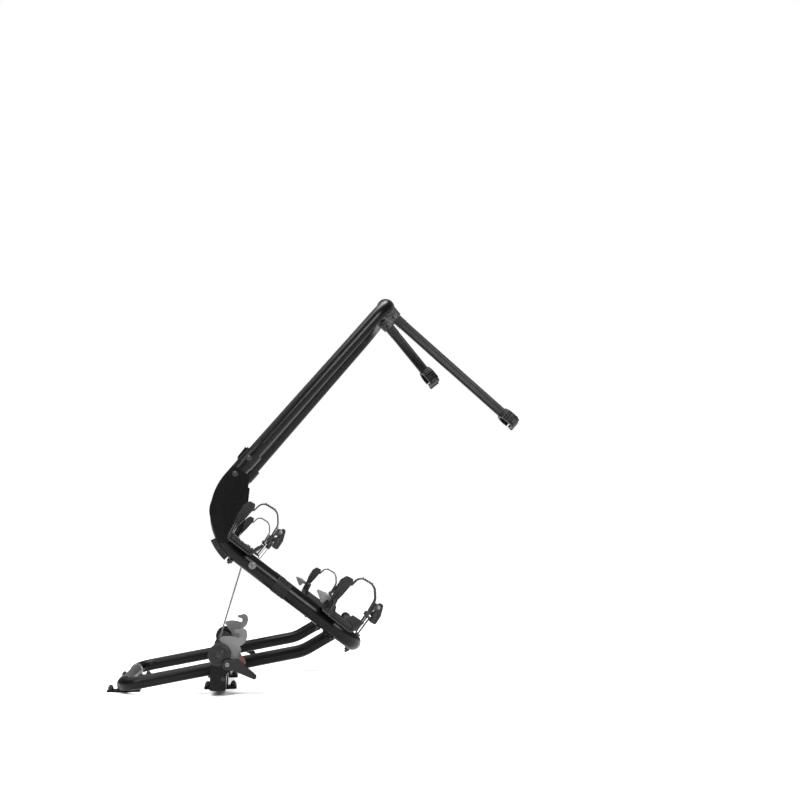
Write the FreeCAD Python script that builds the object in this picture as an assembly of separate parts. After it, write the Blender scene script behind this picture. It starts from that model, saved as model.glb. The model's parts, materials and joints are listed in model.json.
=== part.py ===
import FreeCAD, Part
import math
import os

V = FreeCAD.Vector

# Bike rack for a caravan drawbar, in millimetres.
# X points towards the car, Y to the left, Z up. The rack is drawn tilted forward,
# with its working origin on the drawbar, under the winch; the finished model is then
# moved so that its origin is the centre of its bounding box, at the bottom.
# The platform is drawn level, as it is driven, and then turned about its hinge.
# "Right" is the side at minus Y and "left" the side at plus Y.

# Driving position and tilt
tilt_angle = 37.0
floor_z = 13.5

# Base frame
base_inset = 46.0
base_tube_r = 16.5
base_tube_wall = 2.0
base_rise = 10.1
base_axis_z = 76.4
base_rear_x = -234.0
base_bend_x = 220.0
base_end_rise = 29.5
base_end_x = 297.0
base_corner_r = 50.0
base_knee_r = 110.0
rear_leg_run = 76.0
width_tube_overlap = 28.0
width_tube_gap = 0.3
collar_ring_length = 6.0
collar_ring_proud = 1.2

# Feet and crossbeam
foot_length = 84.0
foot_width = 44.0
rear_foot_inset = 6.0
rear_foot_thickness = 4.0
centre_foot_x = 10.0
centre_foot_y = 125.0
centre_foot_thickness = 6.0
foot_bolt_pitch = 67.0
foot_bolt_r = 4.0
foot_nut_r = 6.5
beam_x = 7.0
beam_width = 40.0
beam_bottom_z = 27.0
beam_height = 30.0
beam_wall = 3.0
beam_overhang = 14.0
cheek_thickness = 3.0
cheek_height = 19.0
saddle_length = 36.0
saddle_width = 30.0

# Winch
winch_x = 9.8
winch_z = 115.1
winch_shaft_r = 8.0
bracket_thickness = 5.0
bracket_boss_r = 11.0
bracket_boss_length = 9.0
cover_r = 28.2
cover_thickness = 10.0
cover_ring_r = 16.5
drum_core_r = 10.3
drum_flange_r = 22.5
drum_width = 30.0
flange_thickness = 4.0
rope_r = 2.0
rope_turns = 3
rope_pitch = 4.7
rope_lean = 15.8
return_spring_r = 13.0
return_spring_wire_r = 1.5
sleeve_flange_r = 22.0
collar_length = 12.0
stop_collar_r = 12.0
mid_collar_r = 16.0
mid_collar_y = 205.0
flange_collar_y = 165.0
return_spring_turns = 4
return_spring_y = -108.0
return_spring_length = 40.0

# Latch
latch_x = 29.5
latch_z = 92.0
latch_shaft_r = 6.0
latch_bush_r = 10.0
latch_bush_half = 22.0
hook_clearance = 3.0
hook_thickness = 3.0
hub_r = 13.0
lever_gap = 1.3
lever_thickness = 13.5
catch_end_angle = 78.0
latch_bolt_r = 5.0
latch_bolt_x = -273.6
latch_bolt_head_r = 9.5
tab_thickness = 7.0

# Hinge between base and platform
hinge_x = 328.8
hinge_z = 201.2
hinge_pin_r = 5.0
hinge_boss_r = 11.0
lug_thickness = 10.0
hinge_bracket_thickness = 6.0

# Platform loop and mast
platform_half = 266.0
platform_tube_r = 21.0
platform_tube_wall = 2.5
platform_drop = 40.0
platform_front_x = 57.0
platform_front_r = 62.0
mast_foot_x = -459.0
mast_lean = 3.0
mast_corner_r = 134.0
mast_joint_n = 225.0
mast_tube_r = 18.0
mast_tube_wall = 2.0
mast_insert = 60.0
mast_spread_n = 245.0
mast_top_n = 789.0
mast_top_half = 192.0
mast_top_r = 68.0
mast_spread_r = 220.0
gusset_thickness = 3.5

# Rails and wheel holders
rail_pitch = 281.0
rail_front_offset = -45.0
rail_half = 636.0
rail_width = 56.0
rail_height = 14.0
rail_wall = 2.0
rail_slots_y = (400.0, 470.0, 540.0)
cup_length = 240.0
cup_end_reach = 4.0
cup_clearance = 0.3
cup_bottom_half = 31.0
cup_top_half = 40.0
cup_height = 34.0
cup_wall = 3.0
tower_height = 98.0
tower_width = 42.0
strap_width = 25.0
strap_thickness = 3.0
strap_crown = 112.0
buckle_height = 62.0
buckle_ear = 3.2
buckle_side = 1.5
buckle_pin_r = 2.2

# Bike arms
arm_width = 26.0
arm_thickness = 16.0
arm_long_drop = 4.0
arm_short_drop = 13.5
arm_long_y = -104.0
arm_short_y = 0.0
arm_long_reach = 470.0
arm_short_reach = 228.0
clamp_outer_r = 25.0
clamp_width = 34.0
claw_bore_r = 20.0
claw_wall = 7.0
claw_width = 30.0

# General
pin_fit = 0.05
seat_gap = 0.3

nodes = {}


def point_on_base(x):
    """Height of the base tubes' axis at x, behind the knee."""
    return base_axis_z + x * math.tan(math.radians(base_rise))


def rod(radius, start, end):
    """Solid cylinder from one point to another."""
    axis = end.sub(start)
    return Part.makeCylinder(radius, axis.Length, start, axis)


def rod_y(radius, x, z, y_from, y_to):
    """Solid cylinder along Y."""
    return rod(radius, V(x, y_from, z), V(x, y_to, z))


def ring_y(outer_r, inner_r, x, z, y_from, y_to):
    """Ring along Y."""
    return rod_y(outer_r, x, z, y_from, y_to).cut(rod_y(inner_r, x, z, y_from - 1, y_to + 1))


def corner_arc(before, corner, after, radius):
    """Tangent arc that rounds one corner: its first, middle and last point."""
    to_before = before.sub(corner).normalize()
    to_after = after.sub(corner).normalize()
    half = to_before.getAngle(to_after) / 2
    reach = radius / math.tan(half)
    bisector = to_before.add(to_after).normalize()
    middle = corner.add(bisector * (radius / math.sin(half) - radius))
    return corner.add(to_before * reach), middle, corner.add(to_after * reach)


def rounded_edges(points, radii, closed):
    """Straight edges and tangent arcs through a list of corners."""
    count = len(points)
    edges = []
    first = None
    last = None
    for i in range(count):
        on_end = not closed and i in (0, count - 1)
        if on_end or radii[i] <= 0:
            start = middle = end = points[i]
        else:
            start, middle, end = corner_arc(points[i - 1], points[i], points[(i + 1) % count], radii[i])
        if last is not None and last.distanceToPoint(start) > 1e-6:
            edges.append(Part.makeLine(last, start))
        if start.distanceToPoint(end) > 1e-6:
            edges.append(Part.Arc(start, middle, end).toShape())
        if first is None:
            first = start
        last = end
    if closed and last.distanceToPoint(first) > 1e-6:
        edges.append(Part.makeLine(last, first))
    return edges


def sweep(path, tangent, radius):
    """Solid round bar along a wire."""
    start = path.OrderedVertexes[0].Point
    section = Part.Wire([Part.makeCircle(radius, start, tangent)])
    return path.makePipeShell([section], True, False)


def bent_tube(points, radii, outer_r, wall):
    """Hollow round tube along a rounded path, open at both ends."""
    path = Part.Wire(rounded_edges(points, radii, False))
    tangent = points[1].sub(points[0])
    return sweep(path, tangent, outer_r).cut(sweep(path, tangent, outer_r - wall))


def plate(outline, y_from, y_to):
    """Flat piece from an outline of (x, z, corner radius), thick along Y."""
    points = [V(x, y_from, z) for x, z, r in outline]
    radii = [r for x, z, r in outline]
    face = Part.Face(Part.Wire(rounded_edges(points, radii, True)))
    return face.extrude(V(0, y_to - y_from, 0))


def slab(outline, z_from, z_to):
    """Flat piece from an outline of (x, y, corner radius), thick along Z."""
    points = [V(x, y, z_from) for x, y, r in outline]
    radii = [r for x, y, r in outline]
    face = Part.Face(Part.Wire(rounded_edges(points, radii, True)))
    return face.extrude(V(0, 0, z_to - z_from))


def block(x_from, x_to, y_from, y_to, z_from, z_to):
    """Box between two corners."""
    size = V(x_to - x_from, y_to - y_from, z_to - z_from)
    return Part.makeBox(size.x, size.y, size.z, V(x_from, y_from, z_from))


def hexagon_z(across, x, y, z_from, z_to):
    """Hexagonal prism along Z."""
    radius = across / math.sqrt(3)
    corners = []
    for i in range(7):
        angle = math.radians(60 * i)
        corners.append(V(x + radius * math.cos(angle), y + radius * math.sin(angle), z_from))
    return Part.Face(Part.makePolygon(corners)).extrude(V(0, 0, z_to - z_from))


def hexagon_y(across, x, z, y_from, y_to):
    """Hexagonal prism along Y."""
    prism = hexagon_z(across, 0, 0, 0, y_to - y_from)
    prism.rotate(V(0, 0, 0), V(1, 0, 0), -90)
    return prism.translate(V(x, y_from, z))


def mirrored(shape):
    """The same piece on the other side of the rack."""
    return shape.mirror(V(0, 0, 0), V(0, 1, 0))


def both(shape):
    """A piece and its mirror image as two separate solids."""
    return Part.makeCompound([shape, mirrored(shape)])


def sector(centre_x, centre_z, r_from, r_to, angle_from, angle_to, y_from, y_to):
    """Piece of a flat ring between two angles, thick along Y."""
    def at(radius, angle):
        turn = math.radians(angle)
        return V(centre_x + radius * math.cos(turn), y_from, centre_z + radius * math.sin(turn))

    mid = (angle_from + angle_to) / 2
    outer = Part.Arc(at(r_to, angle_from), at(r_to, mid), at(r_to, angle_to)).toShape()
    inner = Part.Arc(at(r_from, angle_to), at(r_from, mid), at(r_from, angle_from)).toShape()
    side = Part.makeLine(at(r_to, angle_to), at(r_from, angle_to))
    other = Part.makeLine(at(r_from, angle_from), at(r_to, angle_from))
    face = Part.Face(Part.Wire([outer, side, inner, other]))
    return face.extrude(V(0, y_to - y_from, 0))


def biarc(start, start_dir, end, end_dir):
    """Two tangent arcs that join two points with given directions."""
    chord = end.sub(start)
    both_dirs = start_dir.add(end_dir)
    a = 2 * (1 - start_dir.dot(end_dir))
    b = 2 * chord.dot(both_dirs)
    c = -chord.dot(chord)
    reach = (-b + math.sqrt(b * b - 4 * a * c)) / (2 * a)
    knee_1 = start.add(start_dir * reach)
    knee_2 = end.sub(end_dir * reach)
    joint = knee_1.add(knee_2) * 0.5
    edges = []
    for first, knee, last in ((start, knee_1, joint), (joint, knee_2, end)):
        half_turn = knee.sub(first).getAngle(last.sub(knee)) / 2
        weight = math.cos(half_turn)
        middle = (first.add(last).add(knee * (2 * weight))) * (1 / (2 + 2 * weight))
        edges.append(Part.Arc(first, middle, last).toShape())
    return edges


def coil_edges(x, z, radius, y_start, pitch, turns, angle_start):
    """Helix about an axis along Y, as biarcs of a quarter turn, with its end directions."""
    def at(quarter):
        turn = math.radians(angle_start) + quarter * math.pi / 2
        along = y_start + pitch * quarter / 4
        place = V(x + radius * math.cos(turn), along, z + radius * math.sin(turn))
        heading = V(-radius * math.sin(turn), pitch / (2 * math.pi), radius * math.cos(turn))
        return place, heading.normalize()

    edges = []
    for quarter in range(int(turns * 4)):
        place, heading = at(quarter)
        next_place, next_heading = at(quarter + 1)
        edges += biarc(place, heading, next_place, next_heading)
    return edges, at(0), at(int(turns * 4))


def tilted(shape):
    """Turns a piece of the level platform to the forward tilt."""
    turned = shape.copy()
    turned.rotate(V(hinge_x, 0, hinge_z), V(0, 1, 0), tilt_angle)
    return turned


def tilted_point(x, y, z):
    """Where a point of the level platform lies after the tilt."""
    turn = math.radians(tilt_angle)
    dx = x - hinge_x
    dz = z - hinge_z
    return V(hinge_x + dx * math.cos(turn) + dz * math.sin(turn), y,
             hinge_z - dx * math.sin(turn) + dz * math.cos(turn))


# Places that follow from the dimensions
platform_z = hinge_z - platform_drop
platform_outer_y = platform_half + platform_tube_r
base_half = platform_half - base_inset
rear_leg_inner_y = base_half - rear_leg_run
width_tube_half = rear_leg_inner_y + width_tube_overlap
rear_foot_y = rear_leg_inner_y + rear_foot_inset
beam_half = platform_half + beam_overhang
hook_inner_y = platform_outer_y + hook_clearance
cup_outer_y = rail_half + cup_end_reach
base_rear_z = point_on_base(base_rear_x)
base_bend_z = point_on_base(base_bend_x)
end_slope = math.tan(math.radians(base_end_rise))
base_end_z = base_bend_z + (base_end_x - base_bend_x) * end_slope
rail_front_x = hinge_x + rail_front_offset
rail_rear_x = rail_front_x - rail_pitch
rail_seat_z = platform_z + platform_tube_r
beam_top_z = beam_bottom_z + beam_height
bracket_inner_y = beam_half
bracket_outer_y = beam_half + bracket_thickness
cover_inner_y = bracket_outer_y + bracket_boss_length
hook_outer_y = hook_inner_y + hook_thickness
lever_inner_y = hook_outer_y + lever_gap
lever_outer_y = lever_inner_y + lever_thickness
latch_bolt_level_x = hinge_x + latch_bolt_x
catch_dx = latch_bolt_level_x - latch_x
catch_dz = platform_z - latch_z
catch_r = math.hypot(catch_dx, catch_dz)
catch_angle = math.degrees(math.atan2(catch_dz, catch_dx))
catch_half = latch_bolt_r + 0.35
mast_slope = math.tan(math.radians(mast_lean))
mast_foot_level_x = hinge_x + mast_foot_x
winding_r = drum_core_r + rope_r + 0.05
rope_y = -rope_turns * rope_pitch / 2
arms = (("long", arm_long_y, arm_long_reach, arm_long_drop),
        ("short", arm_short_y, arm_short_reach, arm_short_drop))


def mast_point(n, y):
    """Point on the mast's axis, n above the platform tubes' axis, platform level."""
    return V(mast_foot_level_x + n * mast_slope, y, platform_z + n)


def base_tube(side):
    """One side of the base: inward leg at the rear, long run, knee and rising end."""
    y = side * base_half
    corners = [V(base_rear_x, side * rear_leg_inner_y, base_rear_z),
               V(base_rear_x, y, base_rear_z),
               V(base_bend_x, y, base_bend_z),
               V(base_end_x, y, base_end_z)]
    tube = bent_tube(corners, [0, base_corner_r, base_knee_r, 0], base_tube_r, base_tube_wall)
    bush = rod_y(latch_bush_r, latch_x, latch_z, y - latch_bush_half, y + latch_bush_half)
    bore = rod_y(latch_shaft_r + pin_fit, latch_x, latch_z, y - latch_bush_half - 1, y + latch_bush_half + 1)
    return tube.fuse(bush).cut(bore)


def width_tube():
    """Telescopic cross tube that sets the width at the rear."""
    radius = base_tube_r - base_tube_wall - width_tube_gap
    return ring_y(radius, radius - 2.0, base_rear_x, base_rear_z, -width_tube_half, width_tube_half)


def width_collar():
    """Bright clamping ring at the mouth of one rear leg."""
    inner = base_tube_r - base_tube_wall
    return ring_y(base_tube_r + collar_ring_proud, inner, base_rear_x, base_rear_z,
                  -rear_leg_inner_y, -rear_leg_inner_y + collar_ring_length)


def rear_foot():
    """Flat foot with a saddle under one rear leg."""
    half = foot_length / 2
    y_from = -rear_foot_y - foot_width / 2
    y_to = -rear_foot_y + foot_width / 2
    top = floor_z + rear_foot_thickness
    outline = [(base_rear_x - half, y_from, 6), (base_rear_x + half, y_from, 6),
               (base_rear_x + half, y_to, 6), (base_rear_x - half, y_to, 6)]
    foot = slab(outline, floor_z, top)
    saddle_from = max(y_from, -base_half + base_corner_r + 1)
    saddle = block(base_rear_x - 15, base_rear_x + 15, saddle_from, -rear_leg_inner_y, top, base_rear_z - 4)
    tube = rod_y(base_tube_r, base_rear_x, base_rear_z, -base_half, 0)
    collar_r = base_tube_r + collar_ring_proud + 0.1
    collar = rod_y(collar_r, base_rear_x, base_rear_z, -rear_leg_inner_y,
                   -rear_leg_inner_y + collar_ring_length + seat_gap)
    foot = foot.fuse(saddle).cut(tube).cut(collar)
    return drilled_foot(foot, base_rear_x, -rear_foot_y)


def drilled_foot(foot, x, y):
    """Bolt holes of one foot."""
    for sign in (-1, 1):
        bolt_x = x + sign * foot_bolt_pitch / 2
        foot = foot.cut(rod(foot_bolt_r + 0.5, V(bolt_x, y, floor_z - 1), V(bolt_x, y, floor_z + 20)))
    return foot.removeSplitter()


def centre_foot():
    """Flanged foot that cradles the crossbeam."""
    half = foot_length / 2
    y_from = -centre_foot_y - foot_width / 2
    y_to = -centre_foot_y + foot_width / 2
    top = floor_z + centre_foot_thickness
    outline = [(centre_foot_x - half, y_from, 6), (centre_foot_x + half, y_from, 6),
               (centre_foot_x + half, y_to, 6), (centre_foot_x - half, y_to, 6)]
    foot = slab(outline, floor_z, top)
    beam_left = beam_x - beam_width / 2
    beam_right = beam_x + beam_width / 2
    cradle = block(beam_left - cheek_thickness, beam_right + cheek_thickness, y_from, y_to,
                   top, beam_bottom_z + cheek_height)
    channel = block(beam_left, beam_right, y_from - 1, y_to + 1, beam_bottom_z, beam_top_z)
    return drilled_foot(foot.fuse(cradle).cut(channel), centre_foot_x, -centre_foot_y)


def foot_bolt(x, y, seat_z):
    """Stud with a washer and a domed nut, seated on a foot."""
    shank = rod(foot_bolt_r, V(x, y, floor_z), V(x, y, seat_z + 6))
    washer = rod(foot_nut_r + 0.8, V(x, y, seat_z), V(x, y, seat_z + 1.5))
    nut = hexagon_z(2 * foot_nut_r, x, y, seat_z + 1.5, seat_z + 8)
    dome = Part.makeSphere(foot_nut_r - 1, V(x, y, seat_z + 8))
    return shank.fuse([washer, nut, dome]).removeSplitter()


def base_bolts():
    """All studs of the four feet and the bolts of the winch brackets."""
    pieces = []
    for side in (-1, 1):
        for sign in (-1, 1):
            offset = sign * foot_bolt_pitch / 2
            pieces.append(foot_bolt(base_rear_x + offset, side * rear_foot_y, floor_z + rear_foot_thickness))
            pieces.append(foot_bolt(centre_foot_x + offset, side * centre_foot_y,
                                    floor_z + centre_foot_thickness))
    bolt_x = beam_x + 13
    bolt_z = beam_top_z - 2
    head = hexagon_y(8, bolt_x, bolt_z, -bracket_outer_y - 4.5, -bracket_outer_y)
    washer = rod_y(5.6, bolt_x, bolt_z, -bracket_outer_y - 1, -bracket_outer_y)
    bolt = head.fuse(washer).removeSplitter()
    pieces += [bolt, mirrored(bolt)]
    return Part.makeCompound(pieces)


def crossbeam():
    """Square box beam under the base tubes."""
    left = beam_x - beam_width / 2
    right = beam_x + beam_width / 2
    outer = block(left, right, -beam_half, beam_half, beam_bottom_z, beam_top_z)
    inner = block(left + beam_wall, right - beam_wall, -beam_half - 1, beam_half + 1,
                  beam_bottom_z + beam_wall, beam_top_z - beam_wall)
    return outer.cut(inner)


def tube_saddle():
    """Wedge between the crossbeam and one inclined base tube."""
    y_from = -base_half - saddle_width / 2
    y_to = -base_half + saddle_width / 2
    half = saddle_length / 2
    top = point_on_base(beam_x) - 4
    wedge = block(beam_x - half, beam_x + half, y_from, y_to, beam_top_z, top)
    tube = rod(base_tube_r, V(base_rear_x, -base_half, base_rear_z), V(base_bend_x, -base_half, base_bend_z))
    return wedge.cut(tube)


def winch_bracket():
    """Side plate that carries the winch shaft and the latch shaft."""
    left = beam_x - beam_width / 2
    right = beam_x + beam_width / 2
    eye = 19.0
    outline = [(left, beam_bottom_z, 4), (right, beam_bottom_z, 4),
               (right, latch_z - 26, 8), (latch_x + 15, latch_z - 12, 10),
               (latch_x + 15, latch_z + 12, 10), (winch_x + eye, winch_z + 3, 8),
               (winch_x + eye - 2, winch_z + eye, 14), (winch_x - eye + 2, winch_z + eye, 14),
               (winch_x - eye, winch_z - 6, 10), (left, beam_top_z + 8, 8)]
    side = plate(outline, -bracket_outer_y, -bracket_inner_y)
    boss = rod_y(bracket_boss_r, winch_x, winch_z, -cover_inner_y, -bracket_outer_y)
    side = side.fuse(boss)
    bore_from = -cover_inner_y - 1
    bore_to = -bracket_inner_y + 1
    side = side.cut(rod_y(winch_shaft_r + pin_fit, winch_x, winch_z, bore_from, bore_to))
    side = side.cut(rod_y(latch_shaft_r + pin_fit, latch_x, latch_z, bore_from, bore_to))
    return side.removeSplitter()


def winch_cover():
    """Round end cover of the winch, scalloped for the lever's hub."""
    outer_y = -cover_inner_y - cover_thickness
    cover = rod_y(cover_r, winch_x, winch_z, outer_y, -cover_inner_y)
    cover = cover.cut(rod_y(hub_r + 1.2, latch_x, latch_z, outer_y - 1, -cover_inner_y + 1))
    rim = [edge for edge in cover.Edges if abs(edge.BoundBox.YMin - outer_y) < 1e-6
           and abs(edge.BoundBox.YMax - outer_y) < 1e-6]
    cover = cover.makeFillet(2.5, rim)
    groove = ring_y(cover_ring_r + 2.5, cover_ring_r, winch_x, winch_z, outer_y - 1, outer_y + 1.5)
    dish = rod_y(cover_ring_r - 2.5, winch_x, winch_z, outer_y - 1, outer_y + 1.2)
    return cover.cut(groove).cut(dish)


def hinge_lug():
    """End cap of one base tube with the arm and boss that carry the hinge pin."""
    turn = math.radians(base_end_rise)
    along = V(math.cos(turn), 0, math.sin(turn))
    end = V(base_end_x, -base_half, base_end_z)
    cap_thickness = 4.0
    cap = rod(base_tube_r, end, end.add(along * cap_thickness))
    half = lug_thickness / 2
    face = end.add(along * (cap_thickness - 0.5))
    up = V(-along.z, 0, along.x)
    top = face.add(up * 12)
    low = face.sub(up * 13)
    outline = [(hinge_x - hinge_boss_r, hinge_z, 0), (hinge_x - 12, hinge_z - 22, 6),
               (top.x, top.z, 0), (low.x, low.z, 0),
               (hinge_x + 4, hinge_z - 33, 14), (hinge_x + hinge_boss_r, hinge_z, 0)]
    arm = plate(outline, -base_half - half, -base_half + half)
    boss_outer = -platform_half + platform_tube_r + hinge_bracket_thickness + seat_gap
    boss = rod_y(hinge_boss_r, hinge_x, hinge_z, boss_outer, -base_half + half)
    lug = cap.fuse([arm, boss])
    bore = rod_y(hinge_pin_r, hinge_x, hinge_z, boss_outer - 1, -base_half + half + 1)
    return lug.cut(bore).removeSplitter()


def hinge_pin():
    """Headed pin, held in the lug, that the platform turns on."""
    inner = -base_half + lug_thickness / 2
    outer = -platform_half + platform_tube_r - seat_gap
    shank = rod_y(hinge_pin_r, hinge_x, hinge_z, outer - 6, inner)
    head = rod_y(hinge_pin_r + 3, hinge_x, hinge_z, inner, inner + 4)
    nut = hexagon_y(15, hinge_x, hinge_z, outer - 6, outer)
    return shank.fuse([head, nut]).removeSplitter()


def latch_spring():
    """Wire torsion spring on the latch shaft, with one leg down to the bracket."""
    wire = 1.2
    pitch = 3.0
    radius = latch_shaft_r + wire + 0.5
    y_start = -bracket_inner_y + wire + 2.2
    edges, first, last = coil_edges(latch_x, latch_z, radius, y_start, pitch, 2.5, 0)
    place, heading = first
    leg_end = place.sub(heading * 26)
    edges = [Part.makeLine(leg_end, place)] + edges
    far_place, far_heading = last
    edges.append(Part.makeLine(far_place, far_place.add(far_heading * 12)))
    return sweep(Part.Wire(edges), heading, wire)


def return_spring():
    """Coil round the winch shaft that keeps the rope tight."""
    pitch = return_spring_length / return_spring_turns
    edges, first, last = coil_edges(winch_x, winch_z, return_spring_r, return_spring_y, pitch,
                                    return_spring_turns, 90)
    least_gap = pitch - 2 * return_spring_wire_r
    print("return spring: gap between turns", round(least_gap, 2))
    return sweep(Part.Wire(edges), first[1], return_spring_wire_r)


def spring_sleeve():
    """Flanged sleeve fixed on the shaft, inside the return spring."""
    outer = return_spring_r - return_spring_wire_r - seat_gap
    y_from = return_spring_y - 3
    y_to = return_spring_y + return_spring_length + 3
    sleeve = ring_y(outer, winch_shaft_r, winch_x, winch_z, y_from, y_to)
    flange = ring_y(sleeve_flange_r, winch_shaft_r, winch_x, winch_z, y_from - 4, y_from)
    return sleeve.fuse(flange).removeSplitter()


def shaft_collar(y_from, radius):
    """Collar fixed on the winch shaft."""
    return ring_y(radius, winch_shaft_r, winch_x, winch_z, y_from, y_from + collar_length)


def shaft_collars():
    """Stop collars inside the brackets and the sleeves beside them."""
    inner_face = bracket_inner_y - 1.0
    pieces = []
    for y, radius in ((-inner_face, stop_collar_r), (-mid_collar_y, mid_collar_r),
                      (-flange_collar_y, sleeve_flange_r)):
        pieces.append(shaft_collar(y, radius))
        pieces.append(mirrored(shaft_collar(y, radius)))
    return Part.makeCompound(pieces)


def winch_shaft():
    """Shaft from one winch bracket to the other."""
    return rod_y(winch_shaft_r, winch_x, winch_z, -cover_inner_y + 1, cover_inner_y - 1)


def rope_drum():
    """Spool in the middle of the shaft."""
    half = drum_width / 2
    core = rod_y(drum_core_r, winch_x, winch_z, -half, half)
    flange = rod_y(drum_flange_r, winch_x, winch_z, half, half + flange_thickness)
    holes = []
    for i in range(6):
        angle = math.radians(60 * i)
        holes.append(rod_y(3.0, winch_x + 16.5 * math.cos(angle), winch_z + 16.5 * math.sin(angle),
                           half - 1, half + flange_thickness + 1))
    flange = flange.cut(Part.makeCompound(holes))
    drum = core.fuse([flange, mirrored(flange)])
    return drum.cut(winch_shaft()).removeSplitter()


def rope_directions():
    """The rope's direction away from the drum and the point where it leaves the winding."""
    lean = math.radians(rope_lean)
    away = V(math.sin(lean), 0, math.cos(lean))
    outward = V(-math.cos(lean), 0, math.sin(lean))
    return away, V(winch_x, 0, winch_z).add(outward * winding_r)


def rope_windings():
    """The turns left on the drum when the platform is tilted, one unbroken tube."""
    away, leaving = rope_directions()
    angle = 180 - rope_lean
    edges, first, last = coil_edges(winch_x, winch_z, winding_r, rope_y, rope_pitch, rope_turns, angle)
    print("rope winding: gap between turns", round(rope_pitch - 2 * rope_r, 2))
    return sweep(Part.Wire(edges), first[1], rope_r)


def rope_end():
    """Point on the platform where the rope is held, and the rope's start.

    It is the point that lies on the rope's own line both tilted and level, so the rope
    points the same way at both ends of the tilt.
    """
    away, leaving = rope_directions()
    turn = math.radians(tilt_angle)

    def lowered(vector):
        return V(vector.x * math.cos(turn) - vector.z * math.sin(turn), 0,
                 vector.x * math.sin(turn) + vector.z * math.cos(turn))

    hinge = V(hinge_x, 0, hinge_z)
    fixed = hinge.add(lowered(leaving.sub(hinge))).sub(leaving)
    moving = lowered(away)
    length = -(fixed.x * away.z - fixed.z * away.x) / (moving.x * away.z - moving.z * away.x)
    end = leaving.add(away * length)
    level_end = hinge.add(lowered(end.sub(hinge)))
    return leaving, end, level_end


def winch_rope():
    """Straight taut rope from the drum to the platform."""
    leaving, end, level_end = rope_end()
    y = rope_y
    start = V(leaving.x, y, leaving.z)
    finish = V(end.x, y, end.z)
    away = finish.sub(start).normalize()
    return rod(rope_r, start.add(away * 0.3), finish)


def rope_anchor():
    """Block on the rear rail's floor with the swaged ferrule that holds the rope."""
    leaving, end, level_end = rope_end()
    y = rope_y
    floor = rail_seat_z + rail_wall
    top = max(level_end.z, floor + 4)
    body = block(level_end.x - 7, level_end.x + 7, y - 15, y + 15, floor, top)
    clearance = Part.makeCone(rope_r + 4.5, rope_r + 0.5, top - floor, V(level_end.x, y, floor))
    ferrule = rod(5.0, V(level_end.x, y, top), V(level_end.x, y, top + 9))
    screws = []
    for sign in (-1, 1):
        screws.append(rod(3.0, V(level_end.x, y + sign * 11, top), V(level_end.x, y + sign * 11, top + 2.5)))
    return body.cut(clearance).fuse([ferrule] + screws).removeSplitter()


def hook_plate():
    """Latch hook with a slot that is round about the latch shaft."""
    x = latch_x
    z = latch_z
    outer = -hook_outer_y
    inner = -hook_inner_y
    outline = [(x - 11, z + 4, 5), (x - 5, z + 36, 8), (x - 15.5, z + 52, 3), (x - 21, z + 60, 2.5),
               (x - 12, z + 76, 0), (x + 12, z + 86, 0), (x + 24, z + 84.5, 3), (x + 37, z + 88, 7),
               (x + 46, z + 82, 6), (x + 48.5, z + 70, 8), (x + 45.5, z + 57, 8), (x + 39, z + 48.5, 6),
               (x + 29.5, z + 42.5, 1.5), (x + 34, z + 36, 1.5), (x + 31, z + 26, 4), (x + 25, z + 2, 8)]
    hook = plate(outline, outer, inner)
    hook = hook.fuse(rod_y(hub_r, x, z, outer, inner))
    low = catch_r - catch_half
    high = catch_r + catch_half
    slot = sector(x, z, low, high, catch_angle, 150, outer - 1, inner + 1)
    slot_end = rod_y(catch_half, latch_bolt_level_x, platform_z, outer - 1, inner + 1)
    above = sector(x, z, low, catch_r + 60, catch_end_angle, 150, outer - 1, inner + 1)
    hook = hook.cut(slot).cut(slot_end).cut(above)
    hook = hook.cut(rod_y(latch_shaft_r, x, z, outer - 1, inner + 1))
    return hook.removeSplitter()


def lever():
    """Foot lever, fixed to the latch shaft beside the hook."""
    x = latch_x
    z = latch_z
    outer = -lever_outer_y
    inner = -lever_inner_y
    outline = [(x - 4, z + 12.2, 0), (x + 27.6, z + 11.4, 1.5), (x + 75, z - 30, 5.5),
               (x + 68, z - 38, 5.5), (x + 19, z - 16.5, 10), (x - 2, z - 12.4, 0)]
    arm = plate(outline, outer, inner).fuse(rod_y(hub_r, x, z, outer, inner)).removeSplitter()
    face_edges = [edge for edge in arm.Edges if abs(edge.BoundBox.YMin - outer) < 1e-6
                  and abs(edge.BoundBox.YMax - outer) < 1e-6]
    arm = arm.makeFillet(1.6, face_edges)
    pocket = [(x + 21, z - 9, 2), (x + 26, z + 6, 2), (x + 62, z - 25, 2), (x + 57, z - 29, 1)]
    arm = arm.cut(plate(pocket, inner - 7, inner + 1))
    spacer = ring_y(hub_r - 3, latch_shaft_r, x, z, inner, -hook_outer_y)
    arm = arm.fuse(spacer)
    return arm.cut(rod_y(latch_shaft_r, x, z, outer + 3, inner + 5)).removeSplitter()


def lever_screw():
    """Screw in the middle of one lever's hub."""
    outer = -lever_outer_y
    head = rod_y(5.6, latch_x, latch_z, outer - 3, outer)
    head = head.makeFillet(1.2, [edge for edge in head.Edges if abs(edge.BoundBox.YMax - outer + 3) < 1e-6])
    cross = block(latch_x - 3, latch_x + 3, outer - 4, outer - 2, latch_z - 0.6, latch_z + 0.6)
    other = block(latch_x - 0.6, latch_x + 0.6, outer - 4, outer - 2, latch_z - 3, latch_z + 3)
    return head.cut(cross).cut(other)


def latch_shaft():
    """Shaft that joins the two hooks and levers."""
    end = lever_outer_y - 3
    return rod_y(latch_shaft_r, latch_x, latch_z, -end, end)


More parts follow.
